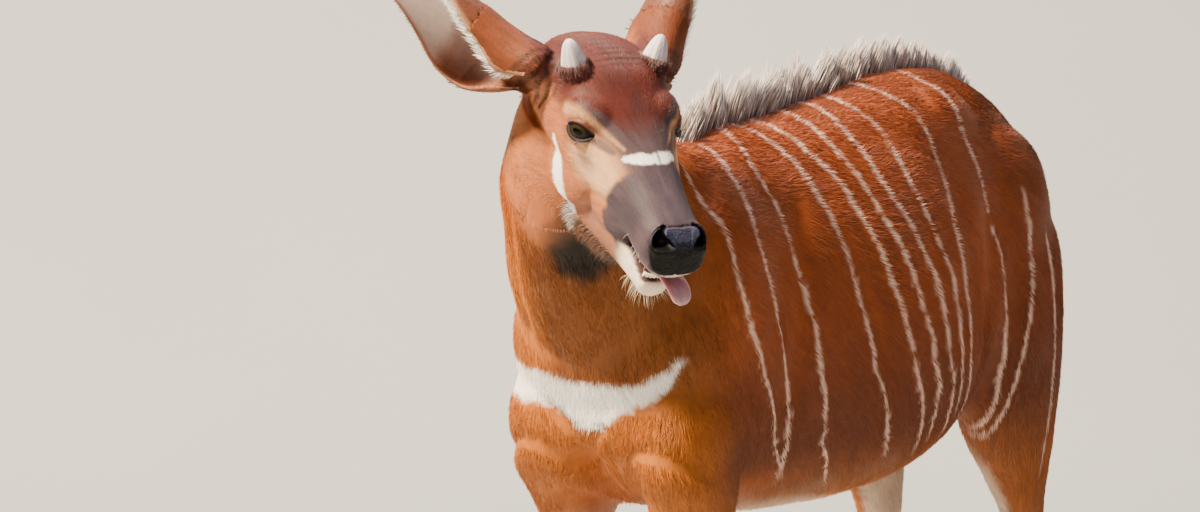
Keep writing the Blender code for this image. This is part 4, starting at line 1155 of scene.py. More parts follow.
def scatter(points, triangles, normals, weight, count, chance):
    """Random spots on a surface: each triangle gets its share by area and weight."""
    a, b, c = (points[triangles[:, i]] for i in range(3))
    area = np.linalg.norm(np.cross(b - a, c - a), axis=1) * weight[triangles].mean(1)
    steps = (np.arange(count) + chance.random(count)) / count
    chosen = np.searchsorted(np.cumsum(area) / area.sum(), steps).clip(0, len(triangles) - 1)
    r, s = np.sqrt(chance.random(count)), chance.random(count)
    shares = np.stack((1 - r, r * (1 - s), r * s), -1)
    corner = triangles[chosen]
    spots = np.einsum("ij,ijk->ik", shares, points[corner])
    return spots, unit(np.einsum("ij,ijk->ik", shares, normals[corner]))


def strands(name, paths, side, out, half, flat, root_colour, tip_colour, places, material):
    """Tapering three-sided hairs in one mesh: rings of two side points and a raised one, then a tip.

    paths has the ring centres and the tip for each hair; half is the width at each ring; flat is the ridge's
    height as a share of it. Each hair's map is one small patch at its root's place.
    """
    count, rings = paths.shape[0], paths.shape[1] - 1
    centre = paths[:, :rings]
    w = half[:, :, None]
    low = centre - out[:, None] * w * flat * 0.5
    ring = np.stack((low + side[:, None] * w, low - side[:, None] * w, centre + out[:, None] * w * flat), 2)
    points = np.concatenate((ring.reshape(count, rings * 3, 3), paths[:, rings:]), 1)
    per = rings * 3 + 1
    faces = [(0, 1, 2)]
    for i in range(rings - 1):
        for j in range(3):
            k = (j + 1) % 3
            faces += [(i * 3 + j, (i + 1) * 3 + j, (i + 1) * 3 + k), (i * 3 + j, (i + 1) * 3 + k, i * 3 + k)]
    for j in range(3):
        faces.append(((rings - 1) * 3 + j, per - 1, (rings - 1) * 3 + (j + 1) % 3))
    faces = np.array(faces)
    first = points[0]
    a, b, c = (first[faces[:, i]] for i in range(3))
    if np.einsum("ij,ij->i", a - first[0], np.cross(b - first[0], c - first[0])).sum() < 0:
        faces = faces[:, ::-1]
    triangles = (faces[None] + (np.arange(count) * per)[:, None, None]).reshape(-1, 3)
    share = np.concatenate((np.repeat(np.arange(rings) / rings, 3), (1.0,)))
    colour = root_colour[:, None] + (tip_colour - root_colour)[:, None] * share[None, :, None]
    across_hair = np.array([(-1, 1, 0)[i % 3] for i in range(per)])
    offset = np.stack((0.0015 * across_hair, 0.003 * share - 0.0015), -1)
    uv = np.clip(places[:, None] + offset[None], 0, 1)
    colour, uv = colour.reshape(-1, 3), uv.reshape(-1, 2)
    piece(name, points.reshape(-1, 3), triangles, material, colour, smooth=False, uv=uv)


def coat(name, spots, normals, material, unrolled, chance):
    """Short hair over spots of skin. Each hair is coloured by the marking that its outer half lies on."""
    count = len(spots)
    length = hair_length(spots) * chance.uniform(0.75, 1.2, count)
    way = lie(spots, normals)
    side = unit(np.cross(normals, way))
    fine = 0.5 * (1 + head_share(spots))
    streak = brushed(spots, way, 0.0034, 0.010, 131) * (1 - fine)
    streak = streak + brushed(spots, way, 0.0021, 0.005, 132) * fine
    clump = brushed(spots, way, 0.0075, 0.016, 133)
    lift = 0.03 + 0.16 * (1 - fine) * clump + chance.uniform(0.0, 0.07, count)
    turn = 0.30 * (clump - 0.5) + chance.normal(0, 0.10, count)
    way = unit(way + side * turn[:, None] + normals * lift[:, None])
    side = unit(np.cross(normals, way))
    start = spots - normals * 0.0010
    tip = start + way * length[:, None] + normals * 0.0008
    half = (0.00030 + 0.032 * length) * chance.uniform(0.8, 1.2, count)
    shown = markings(spots + way * length[:, None] * 0.6)
    tone = chance.uniform(0.80, 1.16, (count, 1)) * (0.60 + 0.50 * streak + 0.26 * clump)[:, None]
    tone = tone + (1 - tone) * 0.75 * shown.min(1, keepdims=True)
    paths = np.stack((start, tip), 1)
    root, end = shown * tone * 0.66, np.clip(shown * tone * 1.10, 0, 1)
    strands(name, paths, side, normals, half[:, None], 0.55, root, end, unrolled(spots), material)


def bowed(root, way, long, middle, drop):
    """Hair paths with a middle at this share of their length and a tip that hangs by a share of it."""
    tip = root + way * long + np.array((0, 0, -drop)) * long
    return np.stack((root, root + way * long * middle, tip), 1)


# Materials


def add(tree, kind, x, y, inputs=None, **settings):
    """Adds one shader node with its settings; an input that is given a socket is linked to it."""
    node = tree.nodes.new(kind)
    node.location = (x, y)
    for key, value in settings.items():
        setattr(node, key, value)
    for key, value in (inputs or {}).items():
        if isinstance(value, bpy.types.NodeSocket):
            tree.links.new(value, node.inputs[key])
        else:
            node.inputs[key].default_value = value
    return node


def new_material(name, roughness, **constants):
    """A material with its shader's constant values set. Returns it, its tree and the shader."""
    material = bpy.data.materials.new(name)
    material.use_nodes = True
    tree = material.node_tree
    shader = tree.nodes["Principled BSDF"]
    shader.inputs["Roughness"].default_value = roughness
    for key, value in constants.items():
        shader.inputs[key.replace("_", " ")].default_value = value
    return material, tree, shader


def scale_for(millimetres):
    """A noise scale whose features are this far apart."""
    return 1000.0 / millimetres


def hair_material(name, roughness, shine):
    """Keratin hair: the colour painted on each hair, with a soft gloss along the lit side of the coat."""
    material, tree, shader = new_material(
        name, roughness, Specular_IOR_Level=shine, Sheen_Weight=0.04, Sheen_Roughness=0.5
    )
    hair = add(tree, "ShaderNodeAttribute", -500, 0, attribute_name="hair")
    tree.links.new(hair.outputs["Color"], shader.inputs["Base Color"])
    return material


def add_tone(tree, shader, cloud, low, high):
    """The colour painted on the points, made darker and lighter by a noise."""
    paint = add(tree, "ShaderNodeAttribute", -700, 250, attribute_name="hair")
    shade = add(tree, "ShaderNodeMapRange", -500, 0, {
        "Value": cloud.outputs["Fac"], "To Min": low, "To Max": high,
    })
    tint = add(tree, "ShaderNodeVectorMath", -300, 150, {
        "Vector": paint.outputs["Color"], "Scale": shade.outputs["Result"],
    }, operation="SCALE")
    tree.links.new(tint.outputs["Vector"], shader.inputs["Base Color"])


def add_relief(tree, shader, height, strength, depth):
    """Relief of this depth in metres from a height."""
    bump = add(tree, "ShaderNodeBump", -300, -150, {
        "Height": height, "Strength": strength, "Distance": depth,
    })
    tree.links.new(bump.outputs["Normal"], shader.inputs["Normal"])


def skin_material():
    """Skin under short hair: the coat's own colour with a fine nap that runs in small streaks."""
    material, tree, shader = new_material("Skin under short hair", 0.62, Specular_IOR_Level=0.25)
    place = add(tree, "ShaderNodeTexCoord", -1100, 0)
    # A hair of 0.1 mm is too fine to show, so the nap is drawn with streaks of 1.5 by 6 mm.
    stretch = add(tree, "ShaderNodeMapping", -900, 0, {
        "Vector": place.outputs["Object"], "Scale": (1, 1, 0.25),
    })
    nap = add(tree, "ShaderNodeTexNoise", -700, 0, {
        "Vector": stretch.outputs["Vector"], "Scale": scale_for(1.5), "Detail": 3.0, "Roughness": 0.6,
    })
    add_tone(tree, shader, nap, 0.70, 1.10)
    add_relief(tree, shader, nap.outputs["Fac"], 0.5, 0.0008)
    return material


def bare_material(name, roughness, grain_mm, depth, coat_weight=0.0, **constants):
    """Hairless skin or horn: colour painted on the points, broken up by a grain of this size in relief."""
    material, tree, shader = new_material(
        name, roughness, Coat_Weight=coat_weight, Coat_Roughness=0.12, **constants
    )
    place = add(tree, "ShaderNodeTexCoord", -1100, 0).outputs["Object"]
    grain = add(tree, "ShaderNodeTexVoronoi", -900, 0, {"Vector": place, "Scale": scale_for(grain_mm)})
    cloud = add(tree, "ShaderNodeTexNoise", -900, -250, {
        "Vector": place, "Scale": scale_for(grain_mm * 5), "Detail": 4.0,
    })
    add_tone(tree, shader, cloud, 0.80, 1.18)
    add_relief(tree, shader, grain.outputs["Distance"], 0.6, depth)
    return material


# Face


def make_skin(body, head):
    """Both hulls as one skin, drawn in by the depth of the coat. Returns the two skins and their normals."""
    parts, colours, tells = [], [], []
    for (points, triangles), depth in ((body, BODY_COAT_DEPTH), (head, HEAD_COAT_DEPTH)):
        normals = point_normals(points, triangles)
        streak = brushed(points, lie(points, normals), 0.0030, 0.008, 134)
        colour = markings(points)
        nap = (0.68 + 0.42 * streak)[:, None]
        colour = colour * (nap + (1 - nap) * 0.75 * colour.min(1, keepdims=True))
        wet = mouth_share(points, normals) * head_share(points)
        colour = dyed(colour, GUM, wet)
        # The head's skin sinks under the neck's where it ends, so that no rim shows.
        ahead = (points - HEAD_EDGE) @ HEAD_EDGE_NORMAL
        if depth == HEAD_COAT_DEPTH:
            sunk = HEAD_SKIN_SUNK * ease(0.000, -0.018, ahead)
        else:
            sunk = -NECK_SKIN_RAISED * ease(-0.060, -0.012, ahead)
        parts.append((points - normals * (depth + sunk)[:, None], triangles))
        colours.append(colour)
        tells.append(normals)
    points, triangles = joined(parts)
    points[len(body[0]):] = press_nose(points[len(body[0]):])
    nodes = ["torso", "neck", "head", "tail"]
    nodes += [leg_name + half for leg_name in STRIDE for half in ("_upper", "_lower")]
    piece("skin", points, triangles, skin_material(), np.concatenate(colours), replaces=nodes)
    return parts, tells


def press_nose(points):
    """Draws the skin in under the bare nose, and deep behind each nostril."""
    place = to_head(points)
    under = ease(0.0, 4.0, pad_margin(place)) * 0.0016
    return points + inwards(place) * (under + nostrils_share(place, 1.15) * (NOSTRIL_DEPTH + 0.004))[:, None]


def make_eye(name, mirror, material):
    """The eyeball. Its colours follow the eye's own axes: a wide dark pupil in an olive-brown iris."""
    centre, axes = eye_frame(mirror)
    polar = np.linspace(0.01, math.pi - 0.01, 96)
    angle = np.linspace(0, 2 * math.pi, 128, endpoint=False)
    flat = np.stack((np.outer(np.sin(polar), np.cos(angle)), np.outer(np.sin(polar), np.sin(angle))), -1)
    bulge = EYE_RADIUS * (1 + 0.035 * bell(polar, 0.55))
    high = np.outer(np.cos(polar), np.ones(len(angle)))[:, :, None]
    local = np.concatenate((flat, high), 2) * bulge[:, None, None]
    points, triangles = capped(centre + local @ axes)
    x, y, out = ((points - centre) @ axes.T / EYE_RADIUS).T
    radius = np.hypot(x, y * 1.05)
    way = np.arctan2(y, x)
    ray = mottle(np.stack((np.cos(way) * 6, np.sin(way) * 6, radius * 2), -1), 0.6, 61)
    colour = painted(len(points), "#2a2211") * (0.6 + 0.8 * ray)[:, None]
    colour = dyed(colour, "#0f090f", ease(0.44, 0.62, radius))
    colour = dyed(colour, "#1c1418", ease(0.82, 0.92, radius))
    pupil = ease(1.10, 0.85, np.hypot(x / 0.36, y / 0.19))
    colour = dyed(colour, "#030406", pupil)
    colour = np.where((out < 0)[:, None], linear("#6f6258"), colour)
    piece(name, points, triangles, material, colour, replaces=(name,))


# The eyelid from its edge outwards: how many times the opening's size, and its height over the eyeball.
LID_RINGS = (
    (0.98, -0.0006), (1.00, 0.0004), (1.03, 0.0012), (1.09, 0.0021), (1.18, 0.0027), (1.30, 0.0028),
    (1.45, 0.0024), (1.60, 0.0022), (1.80, 0.0014), (2.05, -0.0004), (2.30, -0.0026),
)


def on_lids(centre, axes, scale, turn, rise):
    """Points round the eye opening, laid on a ball round the eye: scale 1 is the opening's edge."""
    x = scale * EYE_OPENING[0] * np.cos(turn)
    y = scale * EYE_OPENING[1] * np.sin(turn) * np.abs(np.sin(turn))
    bend = np.hypot(x, y) / EYE_RADIUS
    flat = unit(np.stack((x, y), -1))
    way = np.concatenate((flat * np.sin(bend)[..., None], np.cos(bend)[..., None]), -1)
    return centre + (way * (EYE_RADIUS + rise)[..., None]) @ axes


def make_lids(name, mirror, material):
    """A ring of eyelid: it rises from the eyeball in a round wet edge, folds once and sinks into the face."""
    centre, axes = eye_frame(mirror)
    keys = hermite(LID_RINGS, 44)
    turn = np.linspace(0, 2 * math.pi, 160, endpoint=False)
    scale, turns = np.meshgrid(keys[:, 0], turn, indexing="ij")
    upper = np.clip(np.sin(turns), 0, 1)
    rise = keys[:, 1][:, None] + 0.0007 * upper * within(scale, 1.0, 1.15, 1.6, 2.0)
    rise -= 0.0009 * upper * bell(scale - 1.52, 0.06)
    rise -= 0.0003 * np.clip(-np.sin(turns), 0, 1) * bell(scale - 1.38, 0.05)
    rings = on_lids(centre, axes, scale, turns, rise)
    inner = on_lids(centre, axes, scale[::-1] * 0.999, turns, np.full_like(rise, -0.0034))
    loop = np.concatenate((rings, inner[:1], inner[-1:]))
    rows, columns = loop.shape[:2]
    points = loop.reshape(-1, 3)
    triangles = grid_triangles(rows, columns)
    j = np.arange(columns)
    k = (j + 1) % columns
    top = (rows - 1) * columns
    seam = np.concatenate((np.stack((top + j, top + k, k), -1), np.stack((top + j, k, j), -1)))
    triangles = outward(points, np.concatenate((triangles, seam)))
    where = np.concatenate((scale.ravel(), np.full(2 * columns, 1.0)))
    corner = np.concatenate((np.abs(np.cos(turns)).ravel(), np.zeros(2 * columns)))
    colour = markings(points)
    below = np.concatenate((np.clip(-np.sin(turns), 0, 1).ravel(), np.zeros(2 * columns)))
    # Lilac-grey at both corners of each eye: partly the skin's own tone, partly a painted highlight.
    colour = dyed(colour, "#84728a", 0.60 * ease(1.80, 1.40, where) * ease(0.66, 0.90, corner))
    colour = dyed(colour, "#2b2027", ease(1.34, 1.22, where) * below)
    colour = dyed(colour, "#1b1216", ease(1.40, 1.26, where) * (1 - 0.9 * below) * ease(0.95, 0.80, corner))
    colour = dyed(colour, "#170f18", ease(1.22, 1.12, where))
    piece(name, points, triangles, material, colour)


def make_lashes(chance):
    """Dark lashes along both upper lids, longest at the middle, that curve out and down."""
    count = LASHES
    hairs = []
    for mirror in (1, -1):
        centre, axes = eye_frame(mirror)
        turn = np.radians(np.linspace(20, 160, count)) + chance.normal(0, 0.02, count)
        root = on_lids(centre, axes, np.full(count, 1.06), turn, np.full(count, 0.0014))
        way = unit(root - centre)
        spread = axes[0] * np.cos(turn)[:, None] * 0.5
        long = (0.0065 + 0.0050 * np.sin(turn))[:, None] * chance.uniform(0.8, 1.1, (count, 1))
        middle = root + unit(way + spread + axes[1] * 0.25) * long * 0.5
        tip = middle + unit(way + spread * 1.2 - axes[1] * 0.25) * long * 0.5
        hairs.append((np.stack((root, middle, tip), 1), unit(np.cross(way, axes[1])), way))
    paths, side, out = (np.concatenate(kind) for kind in zip(*hairs))
    half = np.tile((0.00035, 0.00025), (2 * count, 1))
    dark = painted(2 * count, "#120e0d")
    material = hair_material("Lashes", 0.5, 0.4)
    strands("lashes", paths, side, out, half, 1.0, dark, dark, head_map(paths[:, 0]), material)


PAD_CENTRE = (0.222, 0.0, -0.022)
# How far the bare nose reaches from the muzzle's own axis, by the direction round it from below to above, in
# degrees.
PAD_TURNS = (-90, -36, 10, 40, 90)
PAD_REACH = (36, 46, 66, 70, 62)
# A nostril: its middle, the way along it, the way out of it, its half length and half width, and its depth.
NOSTRIL_AT = (0.2475, 0.0255, -0.0045)
NOSTRIL_LONG = (0.019, -0.007, -0.015)
NOSTRIL_OUT = (0.45, 0.85, 0.25)
NOSTRIL_HALF = (0.0122, 0.0070)
NOSTRIL_DEPTH = 0.0095


def pad_margin(place):
    """How many degrees inside the edge of the bare nose a place of the head is."""
    off = place - PAD_CENTRE
    bend = np.degrees(np.arctan2(np.hypot(off[:, 1], off[:, 2]), off[:, 0]))
    high = np.degrees(np.arctan2(off[:, 2], np.abs(off[:, 1])))
    return np.where(place[:, 0] > 0.2, np.interp(high, PAD_TURNS, PAD_REACH) - bend, -90.0)


def nostril_share(place, mirror, grow=1.0):
    """1 inside a nostril: an ellipse on the nose's side that bends into a comma, its tail up and back."""
    off = place * (1, mirror, 1) - NOSTRIL_AT
    out = unit(NOSTRIL_OUT)
    long = unit(np.array(NOSTRIL_LONG) - out * out.dot(NOSTRIL_LONG))
    broad = np.cross(out, long)
    a, b, c = off @ long, off @ broad, off @ out
    b = b + 34.0 * a**2 - 0.0012
    wide = NOSTRIL_HALF[1] * (1 + 22.0 * a)
    return ease(1.20, 0.78, np.hypot(a / (NOSTRIL_HALF[0] * grow), b / (wide * grow))) * (np.abs(c) < 0.012)


def nostrils_share(place, grow=1.0):
    """1 inside either nostril."""
    return np.maximum(nostril_share(place, 1, grow), nostril_share(place, -1, grow))


def inwards(place):
    """The way from a place of the nose into the muzzle, in the calf's frame."""
    return unit(np.array(PAD_CENTRE) - (0.030, 0, 0) - place) @ HEAD


def make_nose(head, material):
    """The bare nose: rays from inside the muzzle find its surface, raised a little and sunk at the nostrils."""
    points, triangles = head
    tree = BVHTree.FromPolygons(points.tolist(), triangles.tolist())
    rows, columns = ((130, 240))
    turn = np.linspace(-math.pi, math.pi, columns, endpoint=False)
    high = np.degrees(np.arcsin(np.sin(turn)))
    reach = np.radians(np.interp(high, PAD_TURNS, PAD_REACH))
    share = np.linspace(0.0, 1.0, rows) ** 0.9
    centre = from_head(PAD_CENTRE)
    found = np.zeros((rows, columns, 3))
    for i, s in enumerate(share):
        bend = reach * max(s, 0.004)
        ways = np.stack((np.cos(bend), np.sin(bend) * np.cos(turn), np.sin(bend) * np.sin(turn)), -1) @ HEAD
        for j, way in enumerate(ways):
            hit = tree.ray_cast(Vector(centre), Vector(way))
            found[i, j] = np.array(hit[0]) if hit[0] is not None else centre + way * 0.03
    ways = unit(found - centre)
    flat = found.reshape(-1, 3)
    place = to_head(flat)
    hole = nostrils_share(place)
    rim = nostrils_share(place, 1.9) * (1 - hole)
    groove = bell(place[:, 1], 0.0013) * ease(0.0, -0.02, place[:, 2])
    raised = 0.0004 + 0.0012 * rim - 0.0010 * groove + 0.0007 * ripple(flat, 0.0024, 71)
    edge = ease(0.86, 1.0, share)[:, None]
    raised = raised.reshape(rows, columns) * (1 - edge) - 0.0012 * edge
    drawn = inwards(place) * (NOSTRIL_DEPTH * hole)[:, None]
    surface = found + ways * raised[:, :, None] + drawn.reshape(rows, columns, 3)
    back = centre + (surface[-1:] - centre) * 0.80
    points, triangles = capped(np.concatenate((surface, back)))
    colour = painted(len(flat), "#060607")
    # Painted reflection: the top of the bare nose turns blue-grey as if it caught the sky, and below it stays
    # near black.
    colour = dyed(colour, "#33354a", 0.85 * ease(-0.016, 0.002, place[:, 2]))
    colour = dyed(colour, MUZZLE, 0.85 * np.repeat(ease(0.80, 1.0, share), columns))
    # Painted shade: near black deep inside the nostrils.
    colour = dyed(colour, "#050406", ease(0.02, 0.45, hole))
    colour = np.concatenate((colour, painted(columns + 2, "#2b2931")))
    piece("nose", points, triangles, material, colour)


def make_tongue(material):
    """A flat tongue: oval sections along its path, a shallow groove down the middle and a paler edge."""
    rows = hermite(TONGUE, 64)
    along = unit(np.gradient(rows[:, :3], axis=0))
    side = unit(np.array((0.0, 1.0, 0.0)) - along * along[:, 1:2])
    up = np.cross(along, side)
    angle = np.linspace(0, 2 * math.pi, 48, endpoint=False)
    c, s = np.cos(angle), np.sin(angle)
    x = rows[:, 3:4] * np.sign(c) * np.abs(c) ** 0.83
    groove = 0.0011 * bell(c, 0.22) * (s > 0)
    y = rows[:, 4:5] * np.sign(s) * np.abs(s) ** 0.83 - groove * np.minimum(1, rows[:, 4:5] / 0.003)
    rings = rows[:, None, :3] + x[:, :, None] * side[:, None] + y[:, :, None] * up[:, None]
    points, triangles = capped(from_head(rings))
    middle = np.concatenate((np.tile(np.abs(c), len(rows)), (0.0, 0.0)))
    colour = dyed(painted(len(points), "#8c7480"), "#c9878f", ease(0.70, 0.98, middle))
    piece("tongue_soft", points, triangles, material, colour, replaces=("tongue",))


# A lower incisor, upwards: height over the gum, half width, half thickness.
TOOTH = ((-0.008, 0.0012, 0.0014), (0.0, 0.0016, 0.0014), (0.003, 0.0022, 0.0011), (0.0054, 0.0023, 0.0005))


def make_teeth(material):
    """Eight lower incisors in an arc, each a small spade: narrow at the gum, wide and thin at its edge."""
    parts = []
    for i in range(8):
        angle = math.radians(-63 + 18 * i)
        ahead = head_way((math.cos(angle), math.sin(angle), 0.15))
        side = head_way((-math.sin(angle), math.cos(angle), 0))
        rings = []
        for rise, half, thick in hermite(TOOTH, 14):
            f = 0.2185 + 0.0085 * math.cos(angle) + rise * 0.4
            at = from_head((f, 0.0140 * math.sin(angle), -0.0735 + rise))
            rings.append(section(at, side, ahead, half, thick, thick, 2.6, 20))
        parts.append(capped(rings))
    points, triangles = joined(parts)
    piece("incisors", points, triangles, material, painted(len(points), "#e6dfd0"))


def make_horn(name, mirror, material):
    """A blunt bud: round sections that narrow to a rounded tip, with uneven ridges from foot to tip."""
    foot, lean = horn_line(mirror)
    side, ahead = across(lean)
    turn = np.linspace(0, 2 * math.pi, 72, endpoint=False)
    share = np.linspace(-0.22, 1.0, 60)
    up = np.maximum(share, 0)
    radius = HORN_RADIUS * (1 - 0.56 * up) * np.sqrt(np.maximum(1 - up**7, 0.0)) + 0.0001
    radius *= 1 + 0.08 * ease(0.25, 0.0, share) + 1.4 * np.minimum(share, 0)
    wave = np.outer(np.ones(len(share)), np.cos(turn * 9 + 1.3 * mirror) + 0.6 * np.cos(turn * 17 + 2.0))
    radius = radius[:, None] * (1 + 0.018 * wave * (1 - up[:, None] * 0.5))
    rings = foot + lean * (HORN_LENGTH * share)[:, None, None]
    rings = rings + radius[:, :, None] * round_way(turn, side, ahead)
    points, triangles = capped(rings)
    streak = mottle(np.stack((np.cos(turn) * 5, np.sin(turn) * 5, 0 * turn), -1), 0.9, 80 + mirror)
    level = np.concatenate((np.repeat(share, len(turn)), (0.0, 1.0)))
    streak = np.concatenate((np.tile(streak, len(share)), (0.5, 0.5)))
    colour = dyed(painted(len(points), "#ddd3da"), "#9a8797", 0.75 * streak)
    colour = dyed(colour, "#8a6a63", ease(0.26, 0.08, level) * 0.5)
    colour = dyed(colour, "#5e342b", ease(0.06, 0.0, level))
    piece(name + "_bud", points, triangles, material, colour, replaces=(name,))


def make_claw(node, leg_name, mirror, inner, material):
    """Half a cloven hoof: D-shaped sections from the sole to the hair, with faint growth rings."""
    rows = FORELEG if leg_name.startswith("fore") else HINDLEG
    foot_y = rows[-1][2] + stride_at(leg_name, 0.02)
    foot_x = mirror * rows[-1][1] - inner * CLAW_SPREAD
    heights = np.concatenate(((0.0, 0.0004, 0.0012), np.linspace(0.004, CLAW_HEIGHT, 36)))
    angle = np.linspace(0, 2 * math.pi, 56, endpoint=False)
    rings = []
    for z in heights:
        ahead, behind, half, shift = columns_at(z, CLAW)
        shrink = 1 - 0.03 * ease(0.0012, 0.0, z) + 0.006 * math.sin(z * 1400)
        x = half * shrink * np.cos(angle)
        x = np.where(x * inner > 0, 0.82 * x, x)
        y = np.where(np.sin(angle) > 0, behind, ahead) * shrink * np.sin(angle) + shift
        rings.append(np.stack((foot_x + x, foot_y + y, np.full(len(angle), z)), -1))
    points, triangles = capped(rings)
    colour = dyed(painted(len(points), "#2a2320"), "#57483c", 0.7 * mottle(points, 0.012, 90))
    piece(node + "_horn", points, triangles, material, colour, replaces=(node,))


def cup_ring(half, depth, turn, points, wall):
    """Across and behind values of a strip bent round, then the inner side of its wall."""
    angle = np.radians(np.linspace(-turn, turn, points))
    spread = math.sin(math.radians(min(turn, 90)))
    ring = []
    for inset, order in ((0.0, 1), (wall, -1)):
        side = (half - inset * 0.8) * np.sin(angle) / spread
        behind = (depth - inset) * np.cos(angle)
        ring.append(np.stack((side, behind), -1)[::order])
    return np.concatenate(ring)


EAR_STATIONS = 90
EAR_POINTS = 44


def ear_surface(form):
    """The ear's shell as a grid of points, with each ring's share of the ear's length."""
    root, along, opening, wide = ear_frame(form)
    grid, shares = [], []
    for share, half, depth, turn, lean in hermite(EAR, EAR_STATIONS):
        ring = cup_ring(half, depth, turn, EAR_POINTS, EAR_WALL * (1 - 0.5 * share))
        place = np.linspace(-1, 1, EAR_POINTS)
        crease = 0.0016 * np.sin(place * 17) * ease(0.32, 0.12, share)
        ring[:EAR_POINTS, 1] += crease
        bow = EAR_BOW * math.sin(math.pi * share)
        centre = root + along * EAR_LENGTH * share - opening * bow + rearwards(form) * lean
        grid.append(centre + ring[:, :1] * wide - ring[:, 1:] * opening)
        shares.append(share)
    return np.array(grid), np.array(shares)


def ear_inside(share, place):
    """Colours inside an ear: red-brown by its rear edge, then mauve, white by its front edge and foot."""
    colour = dyed(painted(len(share), "#a67d70"), "#b3a3a5", ease(-0.42, -0.05, place))
    colour = dyed(colour, "#8f5740", ease(-0.42, -0.80, place))
    colour = dyed(colour, "#c8b4ad", 0.8 * ease(0.40, 0.50, share) * ease(0.98, 0.85, np.abs(place)))
    streak = ease(0.10, 0.03, np.abs(share - 0.40 - 0.10 * (place + 0.2))) * ease(-0.60, -0.35, place)
    colour = dyed(colour, "#43302f", 0.40 * streak)
    white = np.maximum(ease(0.66, 0.82, place), ease(0.30, 0.18, share) * ease(-0.62, -0.30, place))
    return dyed(colour, WHITE_HAIR, white)


def ear_colours(share, place, inner):
    """Chestnut outside, with a pale rim and a dark tip."""
    colour = dyed(painted(len(share), "#612f17"), "#502916", ease(0.25, 0.80, share))
    colour = dyed(colour, "#d6a47e", 0.5 * ease(0.90, 1.0, np.abs(place)))
    colour = mixed(colour, ear_inside(share, place), inner)
    return dyed(colour, "#4a2b1e", 0.6 * ease(0.84, 0.98, share))


def make_ear(name, form, flip, material, hair, chance):
    """An ear: its shell, short hair along its back, and longer pale hair inside its front edge."""
    grid, shares = ear_surface(form)
    rows, columns = grid.shape[:2]
    points = grid.reshape(-1, 3)
    triangles = grid_triangles(rows, columns)
    top = (rows - 1) * columns
    j = np.arange(EAR_POINTS - 1)
    k = columns - 1 - j
    ends = [np.stack((j, j + 1, k), -1), np.stack((j + 1, k - 1, k), -1)]
    ends += [np.stack((top + j + 1, top + j, top + k), -1), np.stack((top + k - 1, top + j + 1, top + k), -1)]
    triangles = outward(points, np.concatenate([triangles] + ends))
    place = np.linspace(-1, 1, EAR_POINTS) * flip
    place = np.tile(np.concatenate((place, place[::-1])), rows)
    inner = np.tile(np.arange(columns) >= EAR_POINTS, rows)
    share = np.repeat(shares, columns)
    colour = ear_colours(share, place, inner)
    piece(name + "_shell", points, triangles, material, colour, replaces=(name,))
    normals = point_normals(points, triangles)
    weight = (np.where(inner, 0.6, 1.0) + 2.5 * inner * ease(0.55, 0.75, place)) * (share > 0.02)
    count = hair_count("ear")
    spots, out = scatter(points, triangles, normals, weight, count, chance)
    data = np.stack((share, place, inner * 1.0), -1)
    near = nearest_rows(spots, out, grid, normals.reshape(grid.shape))
    share, place, inner = data[near].T
    root, along, opening, wide = ear_frame(form)
    way = along + wide * (place * flip * 0.25)[:, None] + opening * (0.3 * inner)[:, None]
    way = on_skin(way, out)
    fringe = inner * np.maximum(ease(0.50, 0.75, place), ease(0.30, 0.18, share) * ease(-0.50, -0.2, place))
    length = (0.0075 + 0.008 * fringe * ease(0.9, 0.5, share)) * chance.uniform(0.7, 1.2, count)
    length *= 1 - 0.35 * ease(0.7, 1.0, share)
    way = unit(way + out * (0.10 + 0.25 * fringe)[:, None] + wide * chance.normal(0, 0.10, (count, 1)))
    side = unit(np.cross(out, way))
    start = spots - out * 0.0006
    paths = np.stack((start, start + way * length[:, None]), 1)
    colour = ear_colours(share, place, inner > 0.5) * chance.uniform(0.82, 1.12, (count, 1))
    half = (0.00024 + 0.018 * length)[:, None]
    places = np.stack((inset(share), 0.5 + 0.24 * place + 0.25 * np.where(inner > 0.5, 1, -1)), -1)
    root, end = colour * 0.7, np.clip(colour * 1.1, 0, 1)
    strands(name + "_hair", paths, side, out, half, 0.55, root, end, places, hair)


def nearest_rows(spots, out, grid, normals):
    """The number of the grid's point near each spot: the closest one of its station that faces the same way."""
    rows, columns = grid.shape[:2]
    middle = grid.mean(1)
    line = unit(middle[-1] - middle[0])
    station = np.searchsorted((middle - middle[0]) @ line, (spots - middle[0]) @ line).clip(0, rows - 1)
    off = np.linalg.norm(grid[station] - spots[:, None], axis=2)
    off += 0.02 * ((normals[station] * out[:, None]).sum(2) < 0.2)
    return station * columns + off.argmin(1)


# Long hair


def back_line(y):
    """Height of the back at y, on the trunk's own curve."""
    rows = hermite([(row[0], row[1]) for row in TRUNK], 60)
    return np.interp(y, rows[:, 0], rows[:, 1])


def crest_height(y):
    """The crest stands tallest over the withers and sinks towards the croup."""
    return np.interp(y, (-0.30, -0.22, 0.02, 0.22, 0.42), (0.030, 0.056, 0.052, 0.036, 0.022))


